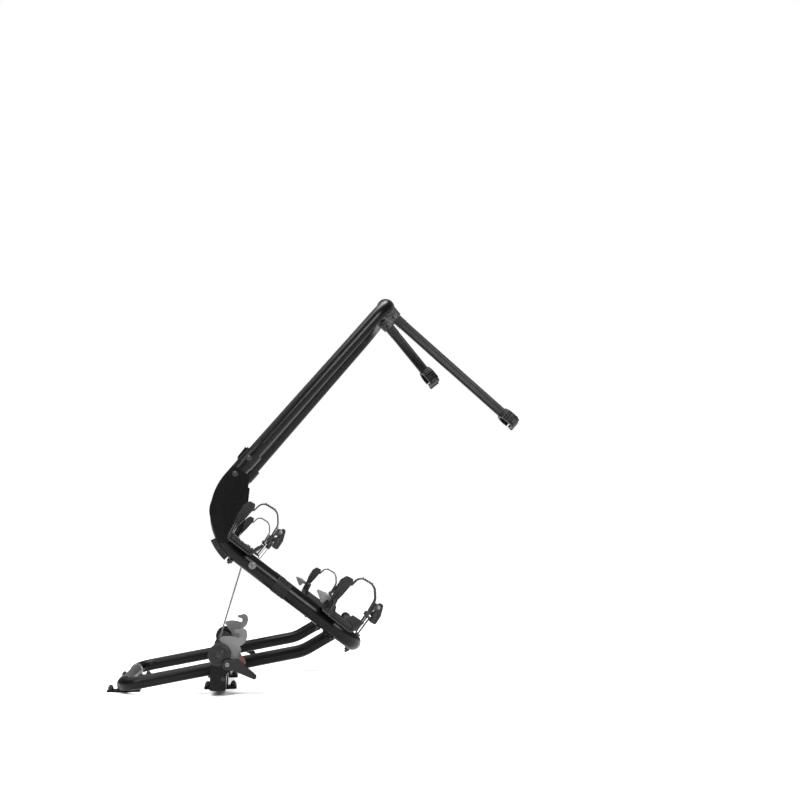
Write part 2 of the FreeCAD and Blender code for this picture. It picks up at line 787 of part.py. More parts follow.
def lock_tab():
    """Safety tab that lies on the lever's upper edge."""
    x = latch_x
    z = latch_z
    inner = -lever_inner_y - 1.5
    outline = [(x + 28.2, z + 28, 1), (x + 31.5, z + 28, 1), (x + 36.5, z + 19, 3), (x + 42, z + 13, 3),
               (x + 46, z + 5, 3), (x + 43.2, z - 1.6, 1), (x + 28.2, z + 11.6, 0)]
    return plate(outline, inner - tab_thickness, inner)


def platform_path():
    """Middle line of the platform loop."""
    y = platform_half
    front_x = hinge_x + platform_front_x
    corners = [mast_point(mast_joint_n, -y), mast_point(0, -y), V(front_x, -y, platform_z),
               V(front_x, y, platform_z), mast_point(0, y), mast_point(mast_joint_n, y)]
    radii = [0, mast_corner_r, platform_front_r, platform_front_r, mast_corner_r, 0]
    return corners, radii


def platform_space():
    """All that lies within the platform loop's outer surface, for pieces seated on it."""
    corners, radii = platform_path()
    path = Part.Wire(rounded_edges(corners, radii, False))
    return sweep(path, corners[1].sub(corners[0]), platform_tube_r)


def platform_loop():
    """Lower frame tube: both platform sides, the front bar and the two mast stubs."""
    y = platform_half
    corners, radii = platform_path()
    loop = bent_tube(corners, radii, platform_tube_r, platform_tube_wall)
    for side in (-1, 1):
        hole = rod_y(latch_bolt_r, latch_bolt_level_x, platform_z, side * y - 30, side * y + 30)
        loop = loop.cut(hole)
        for rail_x in (rail_front_x, rail_rear_x):
            bolt_hole = rod(4.0, V(rail_x, side * y, platform_z - 30), V(rail_x, side * y, platform_z + 30))
            loop = loop.cut(bolt_hole)
    return tilted(loop)


def mast_arch():
    """Upper arch that telescopes into the mast stubs."""
    foot_n = mast_joint_n - mast_insert
    y = platform_half
    corners = [mast_point(foot_n, -y), mast_point(mast_spread_n, -y), mast_point(mast_top_n, -mast_top_half),
               mast_point(mast_top_n, mast_top_half), mast_point(mast_spread_n, y), mast_point(foot_n, y)]
    radii = [0, mast_spread_r, mast_top_r, mast_top_r, mast_spread_r, 0]
    return tilted(bent_tube(corners, radii, mast_tube_r, mast_tube_wall))


def mast_collar():
    """Clamp collar over the joint of mast stub and arch, with its ear at the back."""
    low = mast_point(mast_joint_n - 36, -platform_half)
    seat = mast_point(mast_joint_n, -platform_half)
    top = mast_point(mast_joint_n + 4, -platform_half)
    body = rod(platform_tube_r + 2.2, low, top)
    ear_from = mast_point(mast_joint_n - 31, -platform_half)
    ear = block(ear_from.x - platform_tube_r - 4.5, ear_from.x - 8, -platform_half - 7, -platform_half + 7,
                ear_from.z, ear_from.z + 33)
    body = body.fuse(ear)
    below = mast_point(mast_joint_n - 60, -platform_half)
    body = body.cut(rod(platform_tube_r, below, seat))
    above = mast_point(mast_joint_n + 60, -platform_half)
    return tilted(body.cut(rod(mast_tube_r + seat_gap, below, above)).removeSplitter())


def domed_screw(x, z, surface_y, radius):
    """Domed screw head on a surface that faces minus Y."""
    washer = rod_y(radius + 1.5, x, z, surface_y - 1.2, surface_y)
    ball_r = radius * 1.25
    ball = Part.makeSphere(ball_r, V(x, surface_y - 1.2 + ball_r * 0.6, z))
    cap = ball.common(rod_y(radius, x, z, surface_y - 1.2 - radius, surface_y - 1.0))
    socket = rod_y(radius * 0.42, x, z, surface_y - 12, surface_y - 1.2 - ball_r * 0.22)
    return washer.fuse(cap).cut(socket).removeSplitter()


def frame_screws():
    """Screws of the gussets and collars, and the bolts at the front corners."""
    pieces = []
    gusset_at = mast_point(156, 0)
    collar_at = mast_point(mast_joint_n - 16, 0)
    gusset_face = -platform_half - platform_tube_r - gusset_thickness
    pieces.append(domed_screw(gusset_at.x, gusset_at.z, gusset_face, 6.0))
    pieces.append(domed_screw(collar_at.x, collar_at.z, -platform_half - platform_tube_r - 2.2, 6.0))
    bolt_x = hinge_x + platform_front_x
    bolt_y = -platform_half + platform_front_r + 8
    under = hexagon_z(13, bolt_x, bolt_y, platform_z - platform_tube_r - 7, platform_z - platform_tube_r)
    tail = rod(4.0, V(bolt_x, bolt_y, platform_z - platform_tube_r - 12),
               V(bolt_x, bolt_y, platform_z - platform_tube_r - 7))
    over = rod(8.0, V(bolt_x, bolt_y, platform_z + platform_tube_r), V(bolt_x, bolt_y, platform_z
               + platform_tube_r + 5))
    pieces += [under.fuse(tail).removeSplitter(), over]
    group = []
    for piece in pieces:
        turned = tilted(piece)
        group += [turned, mirrored(turned)]
    return Part.makeCompound(group)


def gusset():
    """Flat cover plate on the outside of the corner between platform and mast."""
    centre = corner_centre()
    outer_r = mast_corner_r + platform_tube_r - 1
    x = centre.x
    z = centre.z
    lower_turn = math.radians(247)
    low = (x + outer_r * math.cos(lower_turn), z + outer_r * math.sin(lower_turn))
    mid_turn = math.radians(214)
    mid = (x + (outer_r + 6) * math.cos(mid_turn), z + (outer_r + 6) * math.sin(mid_turn))
    top_z = z + 34
    left_x = mast_point(168, 0).x - platform_tube_r + 2
    outline = [(left_x, top_z - 8, 6), (left_x + 8, top_z + 4, 5), (left_x + 50, top_z + 6, 5),
               (left_x + 92, z - 28, 60), (left_x + 112, z - 76, 40), (left_x + 113, z - 126, 5),
               (low[0], low[1], 4), (mid[0], mid[1], 60), (left_x - 2, z - 5, 40)]
    outer = -platform_half - platform_tube_r - gusset_thickness
    return tilted(plate(outline, outer, -platform_half - platform_tube_r))


def corner_centre():
    """Centre of the bend between platform and mast."""
    before = mast_point(100, 0)
    corner = mast_point(0, 0)
    after = V(hinge_x, 0, platform_z)
    to_before = before.sub(corner).normalize()
    to_after = after.sub(corner).normalize()
    half = to_before.getAngle(to_after) / 2
    bisector = to_before.add(to_after).normalize()
    return corner.add(bisector * (mast_corner_r / math.sin(half)))


def bend_bumper():
    """Curved pad under the bend of one platform side."""
    centre = corner_centre()
    inner = mast_corner_r + platform_tube_r - 8
    outer = mast_corner_r + platform_tube_r + 12
    pad = sector(centre.x, centre.z, inner, outer, 242, 263, -platform_half - 11, -platform_half + 11)
    bend = Part.makeTorus(mast_corner_r, platform_tube_r, V(centre.x, -platform_half, centre.z), V(0, 1, 0))
    straight = rod(platform_tube_r, V(centre.x, -platform_half, platform_z),
                   V(centre.x + 60, -platform_half, platform_z))
    return tilted(pad.cut(bend).cut(straight))


def latch_bolt():
    """Bolt through one platform tube; its outer neck is what the hook holds."""
    inner = -platform_half + platform_tube_r
    head_from = -hook_outer_y - 0.8
    shank = rod_y(latch_bolt_r, latch_bolt_level_x, platform_z, head_from, inner + 6)
    head = rod_y(latch_bolt_head_r, latch_bolt_level_x, platform_z, head_from - 2, head_from)
    dome = rod_y(latch_bolt_head_r - 2.5, latch_bolt_level_x, platform_z, head_from - 6, head_from - 2)
    rim = [edge for edge in dome.Edges if abs(edge.BoundBox.YMax - head_from + 6) < 1e-6]
    dome = dome.makeFillet(2.0, rim)
    socket = rod_y(2.6, latch_bolt_level_x, platform_z, head_from - 7, head_from - 3)
    nut = hexagon_y(16, latch_bolt_level_x, platform_z, inner, inner + 6)
    return tilted(shank.fuse([head, dome, nut]).cut(socket).removeSplitter())


def hinge_bracket():
    """Plate inside one platform tube with the eye for the hinge pin and a lip under the tube."""
    outer = -platform_half + platform_tube_r
    inner = outer + hinge_bracket_thickness
    low = platform_z - platform_tube_r - 4
    outline = [(hinge_x - hinge_boss_r, hinge_z + 4, 8), (hinge_x + hinge_boss_r, hinge_z + 4, 8),
               (hinge_x + 16, platform_z, 6), (hinge_x + 6, low, 4), (hinge_x - 28, low, 4),
               (hinge_x - 28, platform_z - 8, 6), (hinge_x - 14, platform_z + 10, 8)]
    side = plate(outline, outer, inner)
    eye = rod_y(hinge_boss_r, hinge_x, hinge_z, outer, inner)
    lip = block(hinge_x - 28, hinge_x + 2, -platform_half - 6, inner, low, low + 4)
    bracket = side.fuse([eye, lip])
    for bolt_x in (hinge_x - 21, hinge_x - 5):
        head = hexagon_z(9, bolt_x, -platform_half + 4, low - 4, low)
        bracket = bracket.fuse(head)
    bracket = bracket.cut(platform_space())
    bracket = bracket.cut(rod_y(hinge_pin_r + pin_fit, hinge_x, hinge_z, outer - 1, inner + 1))
    return tilted(bracket.removeSplitter())


def rail(x, has_rope_hole):
    """Channel rail across the platform that carries two wheel holders."""
    half = rail_width / 2
    low = rail_seat_z
    outer = block(x - half, x + half, -rail_half, rail_half, low, low + rail_height)
    inner = block(x - half + rail_wall, x + half - rail_wall, -rail_half - 1, rail_half + 1,
                  low + rail_wall, low + rail_height + 1)
    channel = outer.cut(inner)
    bead = []
    for side in (-1, 1):
        edge_x = x + side * (half - rail_wall - 2)
        bead.append(block(min(edge_x, edge_x + side * 2), max(edge_x, edge_x + side * 2),
                          -rail_half, rail_half, low + rail_height - 2, low + rail_height))
    channel = channel.fuse(bead)
    for side in (-1, 1):
        bolt_y = side * platform_half
        channel = channel.cut(rod(4.0, V(x, bolt_y, low - 1), V(x, bolt_y, low + 5)))
        for slot_y in rail_slots_y:
            slot = block(x - 5, x + 5, side * slot_y - 18, side * slot_y + 18, low - 1, low + rail_wall + 1)
            channel = channel.cut(slot)
    if has_rope_hole:
        leaving, end, level_end = rope_end()
        y = rope_y
        channel = channel.cut(rod(7.0, V(level_end.x, y, low - 1), V(level_end.x, y, low + rail_wall + 1)))
        channel = channel.cut(platform_space())
    return tilted(channel.removeSplitter())


def rail_bolt(x, side):
    """Carriage bolt through rail and platform tube, with the nut below."""
    y = side * platform_half
    floor = rail_seat_z + rail_wall
    head = rod(9.0, V(x, y, floor), V(x, y, floor + 4))
    shank = rod(4.0, V(x, y, platform_z - platform_tube_r - 12), V(x, y, floor))
    nut = hexagon_z(13, x, y, platform_z - platform_tube_r - 8, platform_z - platform_tube_r)
    return tilted(head.fuse([shank, nut]).removeSplitter())


def rail_bolts():
    """The four bolts of the two rails."""
    return Part.makeCompound([rail_bolt(x, side) for x in (rail_rear_x, rail_front_x) for side in (-1, 1)])


def wheel_cup(x):
    """Moulded trough for a wheel, open at both ends, that slides on its rail."""
    low = rail_seat_z - 3
    floor = rail_seat_z + rail_wall + cup_clearance + 3.5
    top = low + cup_height
    y_from = -cup_outer_y
    y_to = -cup_outer_y + cup_length
    outline = [(x - cup_bottom_half, low, 3), (x + cup_bottom_half, low, 3),
               (x + cup_bottom_half + 2, low + 8, 3),
               (x + cup_top_half + 1.5, top, 1.2), (x + cup_top_half - cup_wall, top, 1.2),
               (x + cup_bottom_half - 1, floor + 4, 6), (x + 22, floor, 8),
               (x - 22, floor, 8), (x - cup_bottom_half + 0.5, floor + 5, 6),
               (x - cup_top_half + cup_wall + 2, top + 4, 1.2), (x - cup_top_half + 0.5, top + 4, 1.2),
               (x - cup_bottom_half - 2, low + 8, 3)]
    cup = plate(outline, y_from, y_to)
    mid_y = y_from + 74
    tower_half = tower_width / 2
    tower_top = low + tower_height
    tower = [(x - 33, low + 20, 0), (x - 28, tower_top - 40, 8), (x - 26, tower_top - 8, 4),
             (x - 30, tower_top, 3), (x - 44, tower_top - 2, 4), (x - 50, tower_top - 16, 5),
             (x - 48, tower_top - 40, 8), (x - 38, low + 20, 0)]
    tower = plate(tower, mid_y - tower_half, mid_y + tower_half)
    for sign in (-1, 1):
        rib_y = mid_y + sign * (tower_half + 3)
        rib = plate([(x - 34, low + 14, 0), (x - 35.5, tower_top - 34, 2), (x - 39.5, tower_top - 36, 2),
                     (x - 38, low + 14, 0)], rib_y - 3, rib_y + 3)
        tower = tower.fuse(rib)
    window = block(x - 55, x - 20, mid_y - 14.5, mid_y + 14.5, tower_top - 19, tower_top - 9)
    lower_window = block(x - 55, x - 20, mid_y - 14.5, mid_y + 14.5, tower_top - 44, tower_top - 28)
    cup = cup.fuse(tower).cut(window).cut(lower_window)
    slot_half = rail_width / 2 + cup_clearance
    slot = block(x - slot_half, x + slot_half, y_from - 1, y_to + 1, rail_seat_z - cup_clearance,
                 rail_seat_z + rail_wall + cup_clearance)
    sides = []
    for sign in (-1, 1):
        near = x + sign * (rail_width / 2 - rail_wall - 2 - cup_clearance)
        far = x + sign * slot_half
        sides.append(block(min(near, far), max(near, far), y_from - 1, y_to + 1,
                           rail_seat_z, rail_seat_z + rail_height + cup_clearance))
    return cup.cut(slot).cut(sides[0]).cut(sides[1]).removeSplitter()


def strap_path(x, low, crown):
    """Corners of the strap's middle line round the wheel: from the tower over to the buckle."""
    return [V(x - 44, 0, low + tower_height - 14.5), V(x - 24, 0, low + tower_height - 13.5),
            V(x - 20, 0, low + crown), V(x + 20, 0, low + crown + 4), V(x + 40, 0, low + 92),
            V(x + 43, 0, low + buckle_height)]


def band(points, radii, thickness, y_from, y_to):
    """Flat strap of even thickness along a rounded path in the XZ plane."""
    path = Part.Wire(rounded_edges(points, radii, False))
    start = points[0]
    along = points[1].sub(points[0]).normalize()
    across = V(-along.z, 0, along.x) * (thickness / 2)
    corners = [start.add(across), start.sub(across)]
    low = [V(c.x, y_from, c.z) for c in corners]
    high = [V(c.x, y_to, c.z) for c in corners]
    section = Part.Wire(Part.makePolygon([low[0], low[1], high[1], high[0], low[0]]))
    return path.makePipeShell([section], True, False)


def wheel_strap(x):
    """Toothed strap over the wheel and the anchor strap with the buckle's frame."""
    low = rail_seat_z - 3
    mid_y = -cup_outer_y + 74
    y_from = mid_y - strap_width / 2
    y_to = mid_y + strap_width / 2
    corners = strap_path(x, low, strap_crown)
    strap = band(corners, [0, 3, 18, 22, 18, 0], strap_thickness, y_from, y_to)
    teeth = []
    first = corners[2]
    last = corners[3]
    run = last.sub(first)
    count = 5
    for i in range(count):
        at = first.add(run * ((i + 1.4) / (count + 1.8)))
        teeth.append(block(at.x - 1.2, at.x + 1.2, y_from + 4, y_to - 4, at.z + strap_thickness / 2 - 1,
                           at.z + strap_thickness / 2 + 1.4))
    strap = strap.fuse(teeth).removeSplitter()
    frame_z = low + buckle_height
    frame = [(x + 38.5, frame_z - 12, 2), (x + 47.5, frame_z - 12, 2), (x + 50, frame_z + 16, 4),
             (x + 47.5, frame_z + 24, 1), (x + 45.2, frame_z + 24, 0), (x + 45.2, frame_z - 1, 0),
             (x + 40.6, frame_z - 1, 0), (x + 38.5, frame_z - 4, 1)]
    ear_half = strap_width / 2 + buckle_side + seat_gap + buckle_ear
    frame = plate(frame, mid_y - ear_half, mid_y + ear_half)
    ear = [(x + 45.2, frame_z + 8, 0), (x + 50, frame_z + 8, 2), (x + 60, frame_z + 15, 5),
           (x + 60, frame_z + 25, 5), (x + 50, frame_z + 26, 3), (x + 45.2, frame_z + 22, 0)]
    for sign in (-1, 1):
        ear_y = mid_y + sign * (ear_half - buckle_ear / 2)
        frame = frame.fuse(plate(ear, ear_y - buckle_ear / 2, ear_y + buckle_ear / 2))
    pivot = buckle_pivot(x)
    frame = frame.cut(rod_y(buckle_pin_r + pin_fit, pivot.x, pivot.z,
                            mid_y - ear_half - 1, mid_y + ear_half + 1))
    anchor_top = frame_z - 12
    anchor = block(x + 41.8, x + 44.2, y_from + 2, y_to - 2, low + 12, anchor_top)
    foot = block(x + cup_bottom_half + 1.6, x + 44.2, y_from + 2, y_to - 2, low + 8, low + 14)
    anchor = anchor.fuse(foot).cut(wheel_cup_outside(x, low))
    return Part.makeCompound([strap, frame.fuse(anchor).removeSplitter()])


def wheel_cup_outside(x, low):
    """Space of the cup's right wall and all that lies within it."""
    top = low + cup_height
    outline = [(x - 10, low, 0), (x + cup_bottom_half, low, 0), (x + cup_bottom_half + 2, low + 8, 0),
               (x + cup_top_half + 1.5, top, 0), (x - 10, top, 0)]
    return plate(outline, -cup_outer_y, -cup_outer_y + cup_length)


def buckle_lever(x):
    """Ratchet lever of the buckle, with its curved tail."""
    low = rail_seat_z - 3
    mid_y = -cup_outer_y + 74
    y_from = mid_y - strap_width / 2 - buckle_side
    y_to = mid_y + strap_width / 2 + buckle_side
    frame_z = low + buckle_height
    outline = [(x + 50.8, frame_z + 14, 2), (x + 53.5, frame_z + 32, 4), (x + 62, frame_z + 30, 6),
               (x + 71, frame_z + 8, 14), (x + 72.5, frame_z - 14, 1.2), (x + 70, frame_z - 14, 0.8),
               (x + 66, frame_z + 2, 10), (x + 60, frame_z + 10, 2), (x + 56, frame_z + 6, 1.5)]
    body = plate(outline, y_from, y_to)
    gaps = []
    for i in range(3):
        gap_y = y_from + 5.5 + i * 6.8
        gaps.append(block(x + 62.5, x + 80, gap_y, gap_y + 3.4, frame_z - 20, frame_z + 6))
    pivot = buckle_pivot(x)
    pin_half = strap_width / 2 + buckle_side + seat_gap + buckle_ear
    pin = rod_y(buckle_pin_r, pivot.x, pivot.z, mid_y - pin_half, mid_y + pin_half)
    return body.cut(Part.makeCompound(gaps)).fuse(pin).removeSplitter()


def buckle_pivot(x):
    """Middle of the buckle lever's pivot, platform level."""
    return V(x + 55.0, -cup_outer_y + 74, rail_seat_z - 3 + buckle_height + 20)


def arm_pieces(y, reach):
    """Clamp with its claw arm, and the claw's jaw, drawn along X from the arch's top bar."""
    top = mast_point(mast_top_n, 0)
    half = clamp_width / 2
    ring = rod_y(clamp_outer_r, top.x, top.z, y - half, y + half)
    nose = [(top.x, top.z - clamp_outer_r + 2, 0), (top.x + 44, top.z - arm_width / 2 - 3, 4),
            (top.x + 44, top.z + arm_width / 2 + 3, 4), (top.x, top.z + clamp_outer_r - 2, 0)]
    body = ring.fuse(plate(nose, y - half + 6, y + half - 6))
    pocket_from = top.x + 26
    body = body.cut(arm_bar(pocket_from, top.x + 60, y, top.z, 0))
    bar_hole = rod_y(mast_tube_r + seat_gap, top.x, top.z, y - half - 1, y + half + 1)
    split = block(top.x - clamp_outer_r - 2, top.x, y - half - 1, y + half + 1, top.z - 1.2, top.z + 1.2)
    body = body.cut(bar_hole).cut(split)
    clamp = body.removeSplitter()
    claw_x = top.x + reach
    outer = claw_bore_r + claw_wall
    bar = arm_bar(pocket_from, claw_x - claw_bore_r - 3, y, top.z, 3)
    claw = sector(0, 0, claw_bore_r, outer, 62, 298, -claw_width / 2, claw_width / 2)
    boss = rod_y(6.0, (claw_bore_r + 3.5) * math.cos(math.radians(62)),
                 (claw_bore_r + 3.5) * math.sin(math.radians(62)), -claw_width / 2, claw_width / 2)
    claw = claw.fuse(boss)
    knuckle = claw_pivot_local()
    middle = claw_width / 2 - 8
    claw = claw.cut(rod_y(9.0, knuckle.x, knuckle.z, -middle, middle))
    claw = claw.cut(rod_y(2.5 + pin_fit, knuckle.x, knuckle.z, -claw_width, claw_width))
    bore = rod_y(claw_bore_r, 0, 0, -claw_width, claw_width)
    claw = claw.cut(bore)
    claw.rotate(V(0, 0, 0), V(1, 0, 0), 90)
    claw.translate(V(claw_x, y, top.z))
    arm = bar.fuse(claw).removeSplitter()
    jaw = sector(0, 0, claw_bore_r, outer, -44, 44, -claw_width / 2, claw_width / 2)
    middle_jaw = middle - seat_gap
    eye = rod_y(5.6, knuckle.x, knuckle.z, -middle_jaw, middle_jaw)
    web = sector(0, 0, claw_bore_r + 0.5, outer - 0.5, 40, 60, -middle_jaw, middle_jaw)
    tongue = sector(0, 0, outer - 2, outer + 9, -44, -30, -claw_width / 2, claw_width / 2)
    pin = rod_y(2.5, knuckle.x, knuckle.z, -claw_width / 2, claw_width / 2)
    jaw = jaw.fuse([eye, web, tongue, pin]).cut(bore)
    jaw.rotate(V(0, 0, 0), V(1, 0, 0), 90)
    jaw.translate(V(claw_x, y, top.z))
    return clamp, arm, jaw.removeSplitter()


def claw_pivot_local():
    """Jaw pivot in the claw's own frame, before the claw is turned onto the arm."""
    turn = math.radians(62)
    return V((claw_bore_r + 3.5) * math.cos(turn), 0, (claw_bore_r + 3.5) * math.sin(turn))


def arm_bar(x_from, x_to, y, z, groove):
    """Flat-sided bar of the arm with rounded edges and a long groove on each side."""
    half_z = arm_width / 2
    half_y = arm_thickness / 2
    outline = [(y - half_y, z - half_z, 4), (y + half_y, z - half_z, 4),
               (y + half_y, z + half_z, 4), (y - half_y, z + half_z, 4)]
    points = [V(x_from, py, pz) for py, pz, r in outline]
    radii = [r for py, pz, r in outline]
    bar = Part.Face(Part.Wire(rounded_edges(points, radii, True))).extrude(V(x_to - x_from, 0, 0))
    if groove > 0:
        for side in (-1, 1):
            edge = y + side * half_y
            cut_from = min(edge, edge - side * 2)
            bar = bar.cut(block(x_from + 24, x_to - 12, cut_from, cut_from + 2, z - groove, z + groove))
    return bar


def drooped(shape, drop):
    """Turns an arm down from level about the arch's top bar, then tilts it."""
    top = mast_point(mast_top_n, 0)
    turned = shape.copy()
    turned.rotate(top, V(0, 1, 0), drop)
    return tilted(turned)


def drooped_point(point, drop):
    """Where a point of an arm drawn level ends up."""
    top = mast_point(mast_top_n, 0)
    turn = math.radians(drop)
    dx = point.x - top.x
    dz = point.z - top.z
    return tilted_point(top.x + dx * math.cos(turn) + dz * math.sin(turn), point.y,
                        top.z - dx * math.sin(turn) + dz * math.cos(turn))


def build_base():
    """Fixed frame, feet, winch brackets and covers."""
    nodes["base_tube_right"] = base_tube(-1)
    nodes["base_tube_left"] = base_tube(1)
    nodes["width_tube"] = width_tube()
    nodes["width_collars"] = both(width_collar())
    nodes["rear_feet"] = both(rear_foot())
    nodes["centre_feet"] = both(centre_foot())
    nodes["base_bolts"] = base_bolts()
    nodes["crossbeam"] = crossbeam()
    nodes["tube_saddles"] = both(tube_saddle())
    nodes["winch_brackets"] = both(winch_bracket())
    nodes["winch_cover_right"] = winch_cover()
    nodes["winch_cover_left"] = mirrored(winch_cover())
    nodes["hinge_lugs"] = both(hinge_lug())
    nodes["hinge_pins"] = both(hinge_pin())
    nodes["latch_spring"] = latch_spring()


def build_winch():
    """Shaft, drum, rope and return springs."""
    nodes["winch_shaft"] = winch_shaft()
    nodes["rope_drum"] = rope_drum()
    nodes["rope_windings"] = rope_windings()
    nodes["winch_rope"] = winch_rope()
    nodes["return_spring"] = return_spring()
    nodes["spring_sleeve"] = spring_sleeve()
    nodes["shaft_collars"] = shaft_collars()


def build_latch():
    """Hooks, levers and safety tabs."""
    nodes["latch_shaft"] = latch_shaft()
    nodes["hook_plate_right"] = hook_plate()
    nodes["hook_plate_left"] = mirrored(hook_plate())
    nodes["lever_right"] = lever()
    nodes["lever_left"] = mirrored(lever())
    nodes["lever_screws"] = both(lever_screw())
    nodes["lock_tab_right"] = lock_tab()
    nodes["lock_tab_left"] = mirrored(lock_tab())


def build_platform():
    """Tilting frame with mast, gussets, rails and hinge brackets."""
    nodes["platform_loop"] = platform_loop()
    nodes["mast_arch"] = mast_arch()
    nodes["mast_collars"] = both(mast_collar())
    nodes["frame_screws"] = frame_screws()
    nodes["gussets"] = both(gusset())
    nodes["bend_bumpers"] = both(bend_bumper())
    nodes["latch_bolts"] = both(latch_bolt())
    nodes["rope_anchor"] = tilted(rope_anchor())
    nodes["rail_rear"] = rail(rail_rear_x, True)
    nodes["rail_front"] = rail(rail_front_x, False)
    nodes["rail_bolts"] = rail_bolts()
    nodes["hinge_brackets"] = both(hinge_bracket())


def build_holders():
    """Wheel cup, strap and buckle at each end of each rail."""
    for row, x in (("rear", rail_rear_x), ("front", rail_front_x)):
        cup = tilted(wheel_cup(x))
        strap = tilted(wheel_strap(x))
        buckle = tilted(buckle_lever(x))
        nodes["wheel_cup_" + row + "_right"] = cup
        nodes["wheel_cup_" + row + "_left"] = mirrored(cup)
        nodes["wheel_strap_" + row + "_right"] = strap
        nodes["wheel_strap_" + row + "_left"] = mirrored(strap)
        nodes["buckle_" + row + "_right"] = buckle
        nodes["buckle_" + row + "_left"] = mirrored(buckle)


def build_arms():
    """The two bike arms on the arch."""
    for name, y, reach, drop in arms:
        clamp, arm, jaw = arm_pieces(y, reach)
        nodes["arm_clamp_" + name] = drooped(clamp, drop)
        nodes["arm_" + name] = drooped(arm, drop)
        nodes["claw_jaw_" + name] = drooped(jaw, drop)


def named_points():
    """Places that the joints and mounts use."""
    top = mast_point(mast_top_n, 0)
    leaving, end, level_end = rope_end()
    knuckle = claw_pivot_local()
    points = {
        "hinge": V(hinge_x, 0, hinge_z),
        "winch": V(winch_x, 0, winch_z),
        "latch": V(latch_x, 0, latch_z),
        "rope_start": V(leaving.x, rope_y, leaving.z),
        "rope_end": V(end.x, rope_y, end.z),
        "rope_end_level": V(level_end.x, rope_y, level_end.z),
        "mast_top": tilted_point(top.x, 0, top.z),
        "tab_right": V(latch_x + 40, -lever_inner_y - 5, latch_z + 8),
        "foot_rear_right": V(base_rear_x, -rear_foot_y, floor_z),
        "foot_centre_right": V(centre_foot_x, -centre_foot_y, floor_z),
        "latch_bolt_right": tilted_point(latch_bolt_level_x, -platform_half, platform_z),
    }
    for row, x in (("rear", rail_rear_x), ("front", rail_front_x)):
        pivot = buckle_pivot(x)
        points["buckle_" + row] = tilted_point(pivot.x, pivot.y, pivot.z)
        points["cup_" + row] = tilted_point(x, -cup_outer_y + cup_length / 2, rail_seat_z)
    for name, y, reach, drop in arms:
        local = V(top.x + reach + knuckle.x, y - knuckle.z, top.z)
        points["jaw_" + name] = drooped_point(local, drop)
        points["claw_" + name] = drooped_point(V(top.x + reach, y, top.z), drop)
    return points


build_base()
build_winch()
build_latch()
build_platform()
build_holders()
build_arms()

whole = Part.makeCompound(list(nodes.values())).BoundBox
shift = V(-(whole.XMin + whole.XMax) / 2, -(whole.YMin + whole.YMax) / 2, -whole.ZMin)
os.makedirs("parts", exist_ok=True)
for name, shape in nodes.items():
    moved = shape.copy()
    moved.translate(shift)
    moved.exportStep("parts/" + name + ".step")
    if not moved.isValid():
        print("not valid:", name)

print("nodes", len(nodes), "size", round(whole.XLength, 1), round(whole.YLength, 1), round(whole.ZLength, 1))
print("shift", round(shift.x, 3), round(shift.y, 3), round(shift.z, 3))
for name, place in named_points().items():
    moved = place.add(shift)
    print("point", name, round(moved.x, 3), round(moved.y, 3), round(moved.z, 3))
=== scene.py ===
import json
import math

import bmesh
import bpy
from mathutils import Matrix, Vector


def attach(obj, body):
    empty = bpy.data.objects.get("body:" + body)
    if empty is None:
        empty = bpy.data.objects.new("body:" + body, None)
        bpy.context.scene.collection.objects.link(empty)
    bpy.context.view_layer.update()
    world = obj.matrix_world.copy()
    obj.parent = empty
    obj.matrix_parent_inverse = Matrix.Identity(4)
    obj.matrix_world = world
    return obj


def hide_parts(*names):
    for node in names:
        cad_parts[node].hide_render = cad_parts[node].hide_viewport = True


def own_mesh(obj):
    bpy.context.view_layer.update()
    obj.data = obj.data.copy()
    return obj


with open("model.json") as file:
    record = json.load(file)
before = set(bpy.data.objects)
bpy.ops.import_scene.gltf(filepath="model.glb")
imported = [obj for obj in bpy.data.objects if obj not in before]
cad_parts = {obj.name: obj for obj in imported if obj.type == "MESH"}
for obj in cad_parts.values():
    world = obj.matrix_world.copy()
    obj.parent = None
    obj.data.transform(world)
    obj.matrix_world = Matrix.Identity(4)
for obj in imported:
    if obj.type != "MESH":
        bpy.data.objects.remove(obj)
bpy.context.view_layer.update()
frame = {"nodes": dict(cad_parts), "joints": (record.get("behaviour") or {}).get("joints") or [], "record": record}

# Places read from the frame, in metres
JOINTS = {joint["name"]: joint for joint in frame["joints"]}
HINGE = Vector(JOINTS["platform_tilt"]["pos_m"])
WINCH = Vector(JOINTS["winch_spin"]["pos_m"])
MAST_TOP = Vector(JOINTS["arm_long_swing"]["pos_m"])
TILT = math.radians(JOINTS["platform_tilt"]["range_deg"][1])

# Sizes of the build that the details sit on, in metres. Places on the platform are those of
# the level platform, with X from the hinge and Z from the axis of its tube.
SIDES = (("right", -1), ("left", 1))
BASE_HALF = 0.220
BASE_RADIUS = 0.0165
BASE_END_RISE = math.radians(29.5)
BASE_END_FROM_HINGE = (-0.0318, -0.04205)
SADDLE_EDGES_FROM_HINGE = (-0.3398, -0.3038)
SADDLE_TOP_FROM_HINGE = -0.1442
COVER_FACE = 0.304
PLATFORM_DROP = 0.040
PLATFORM_HALF = 0.266
TUBE_RADIUS = 0.021
RAIL_HALF = 0.636
RAIL_WIDTH = 0.056
ROWS = (("rear", -0.326), ("front", -0.045))
HOOK_OUTER = 0.293
LATCH_BOLT_X = -0.2736
LATCH_BOLT_HEAD = 0.0068
CUP_OUTER = 0.640
CUP_LENGTH = 0.240
CUP_MIDDLE = 0.566
CUP_LOW = 0.018

# Name of each arm, its Y, the distance from the top bar to its claw, and its droop in degrees
ARMS = (("long", -0.104, 0.470, 4.0), ("short", 0.0, 0.228, 13.5))

# The camera of the photograph, measured from the platform hinge
CAMERA_FROM_HINGE = Vector((-0.2458, -3.0, 0.1748))
CAMERA_YAW = math.radians(7.98)
CAMERA_PITCH = math.radians(8.058)
CAMERA_REACH = 200.0
FOCAL_PIXELS = 1050.0
FRAME_PIXELS = 800.0
SENSOR_MM = 36.0

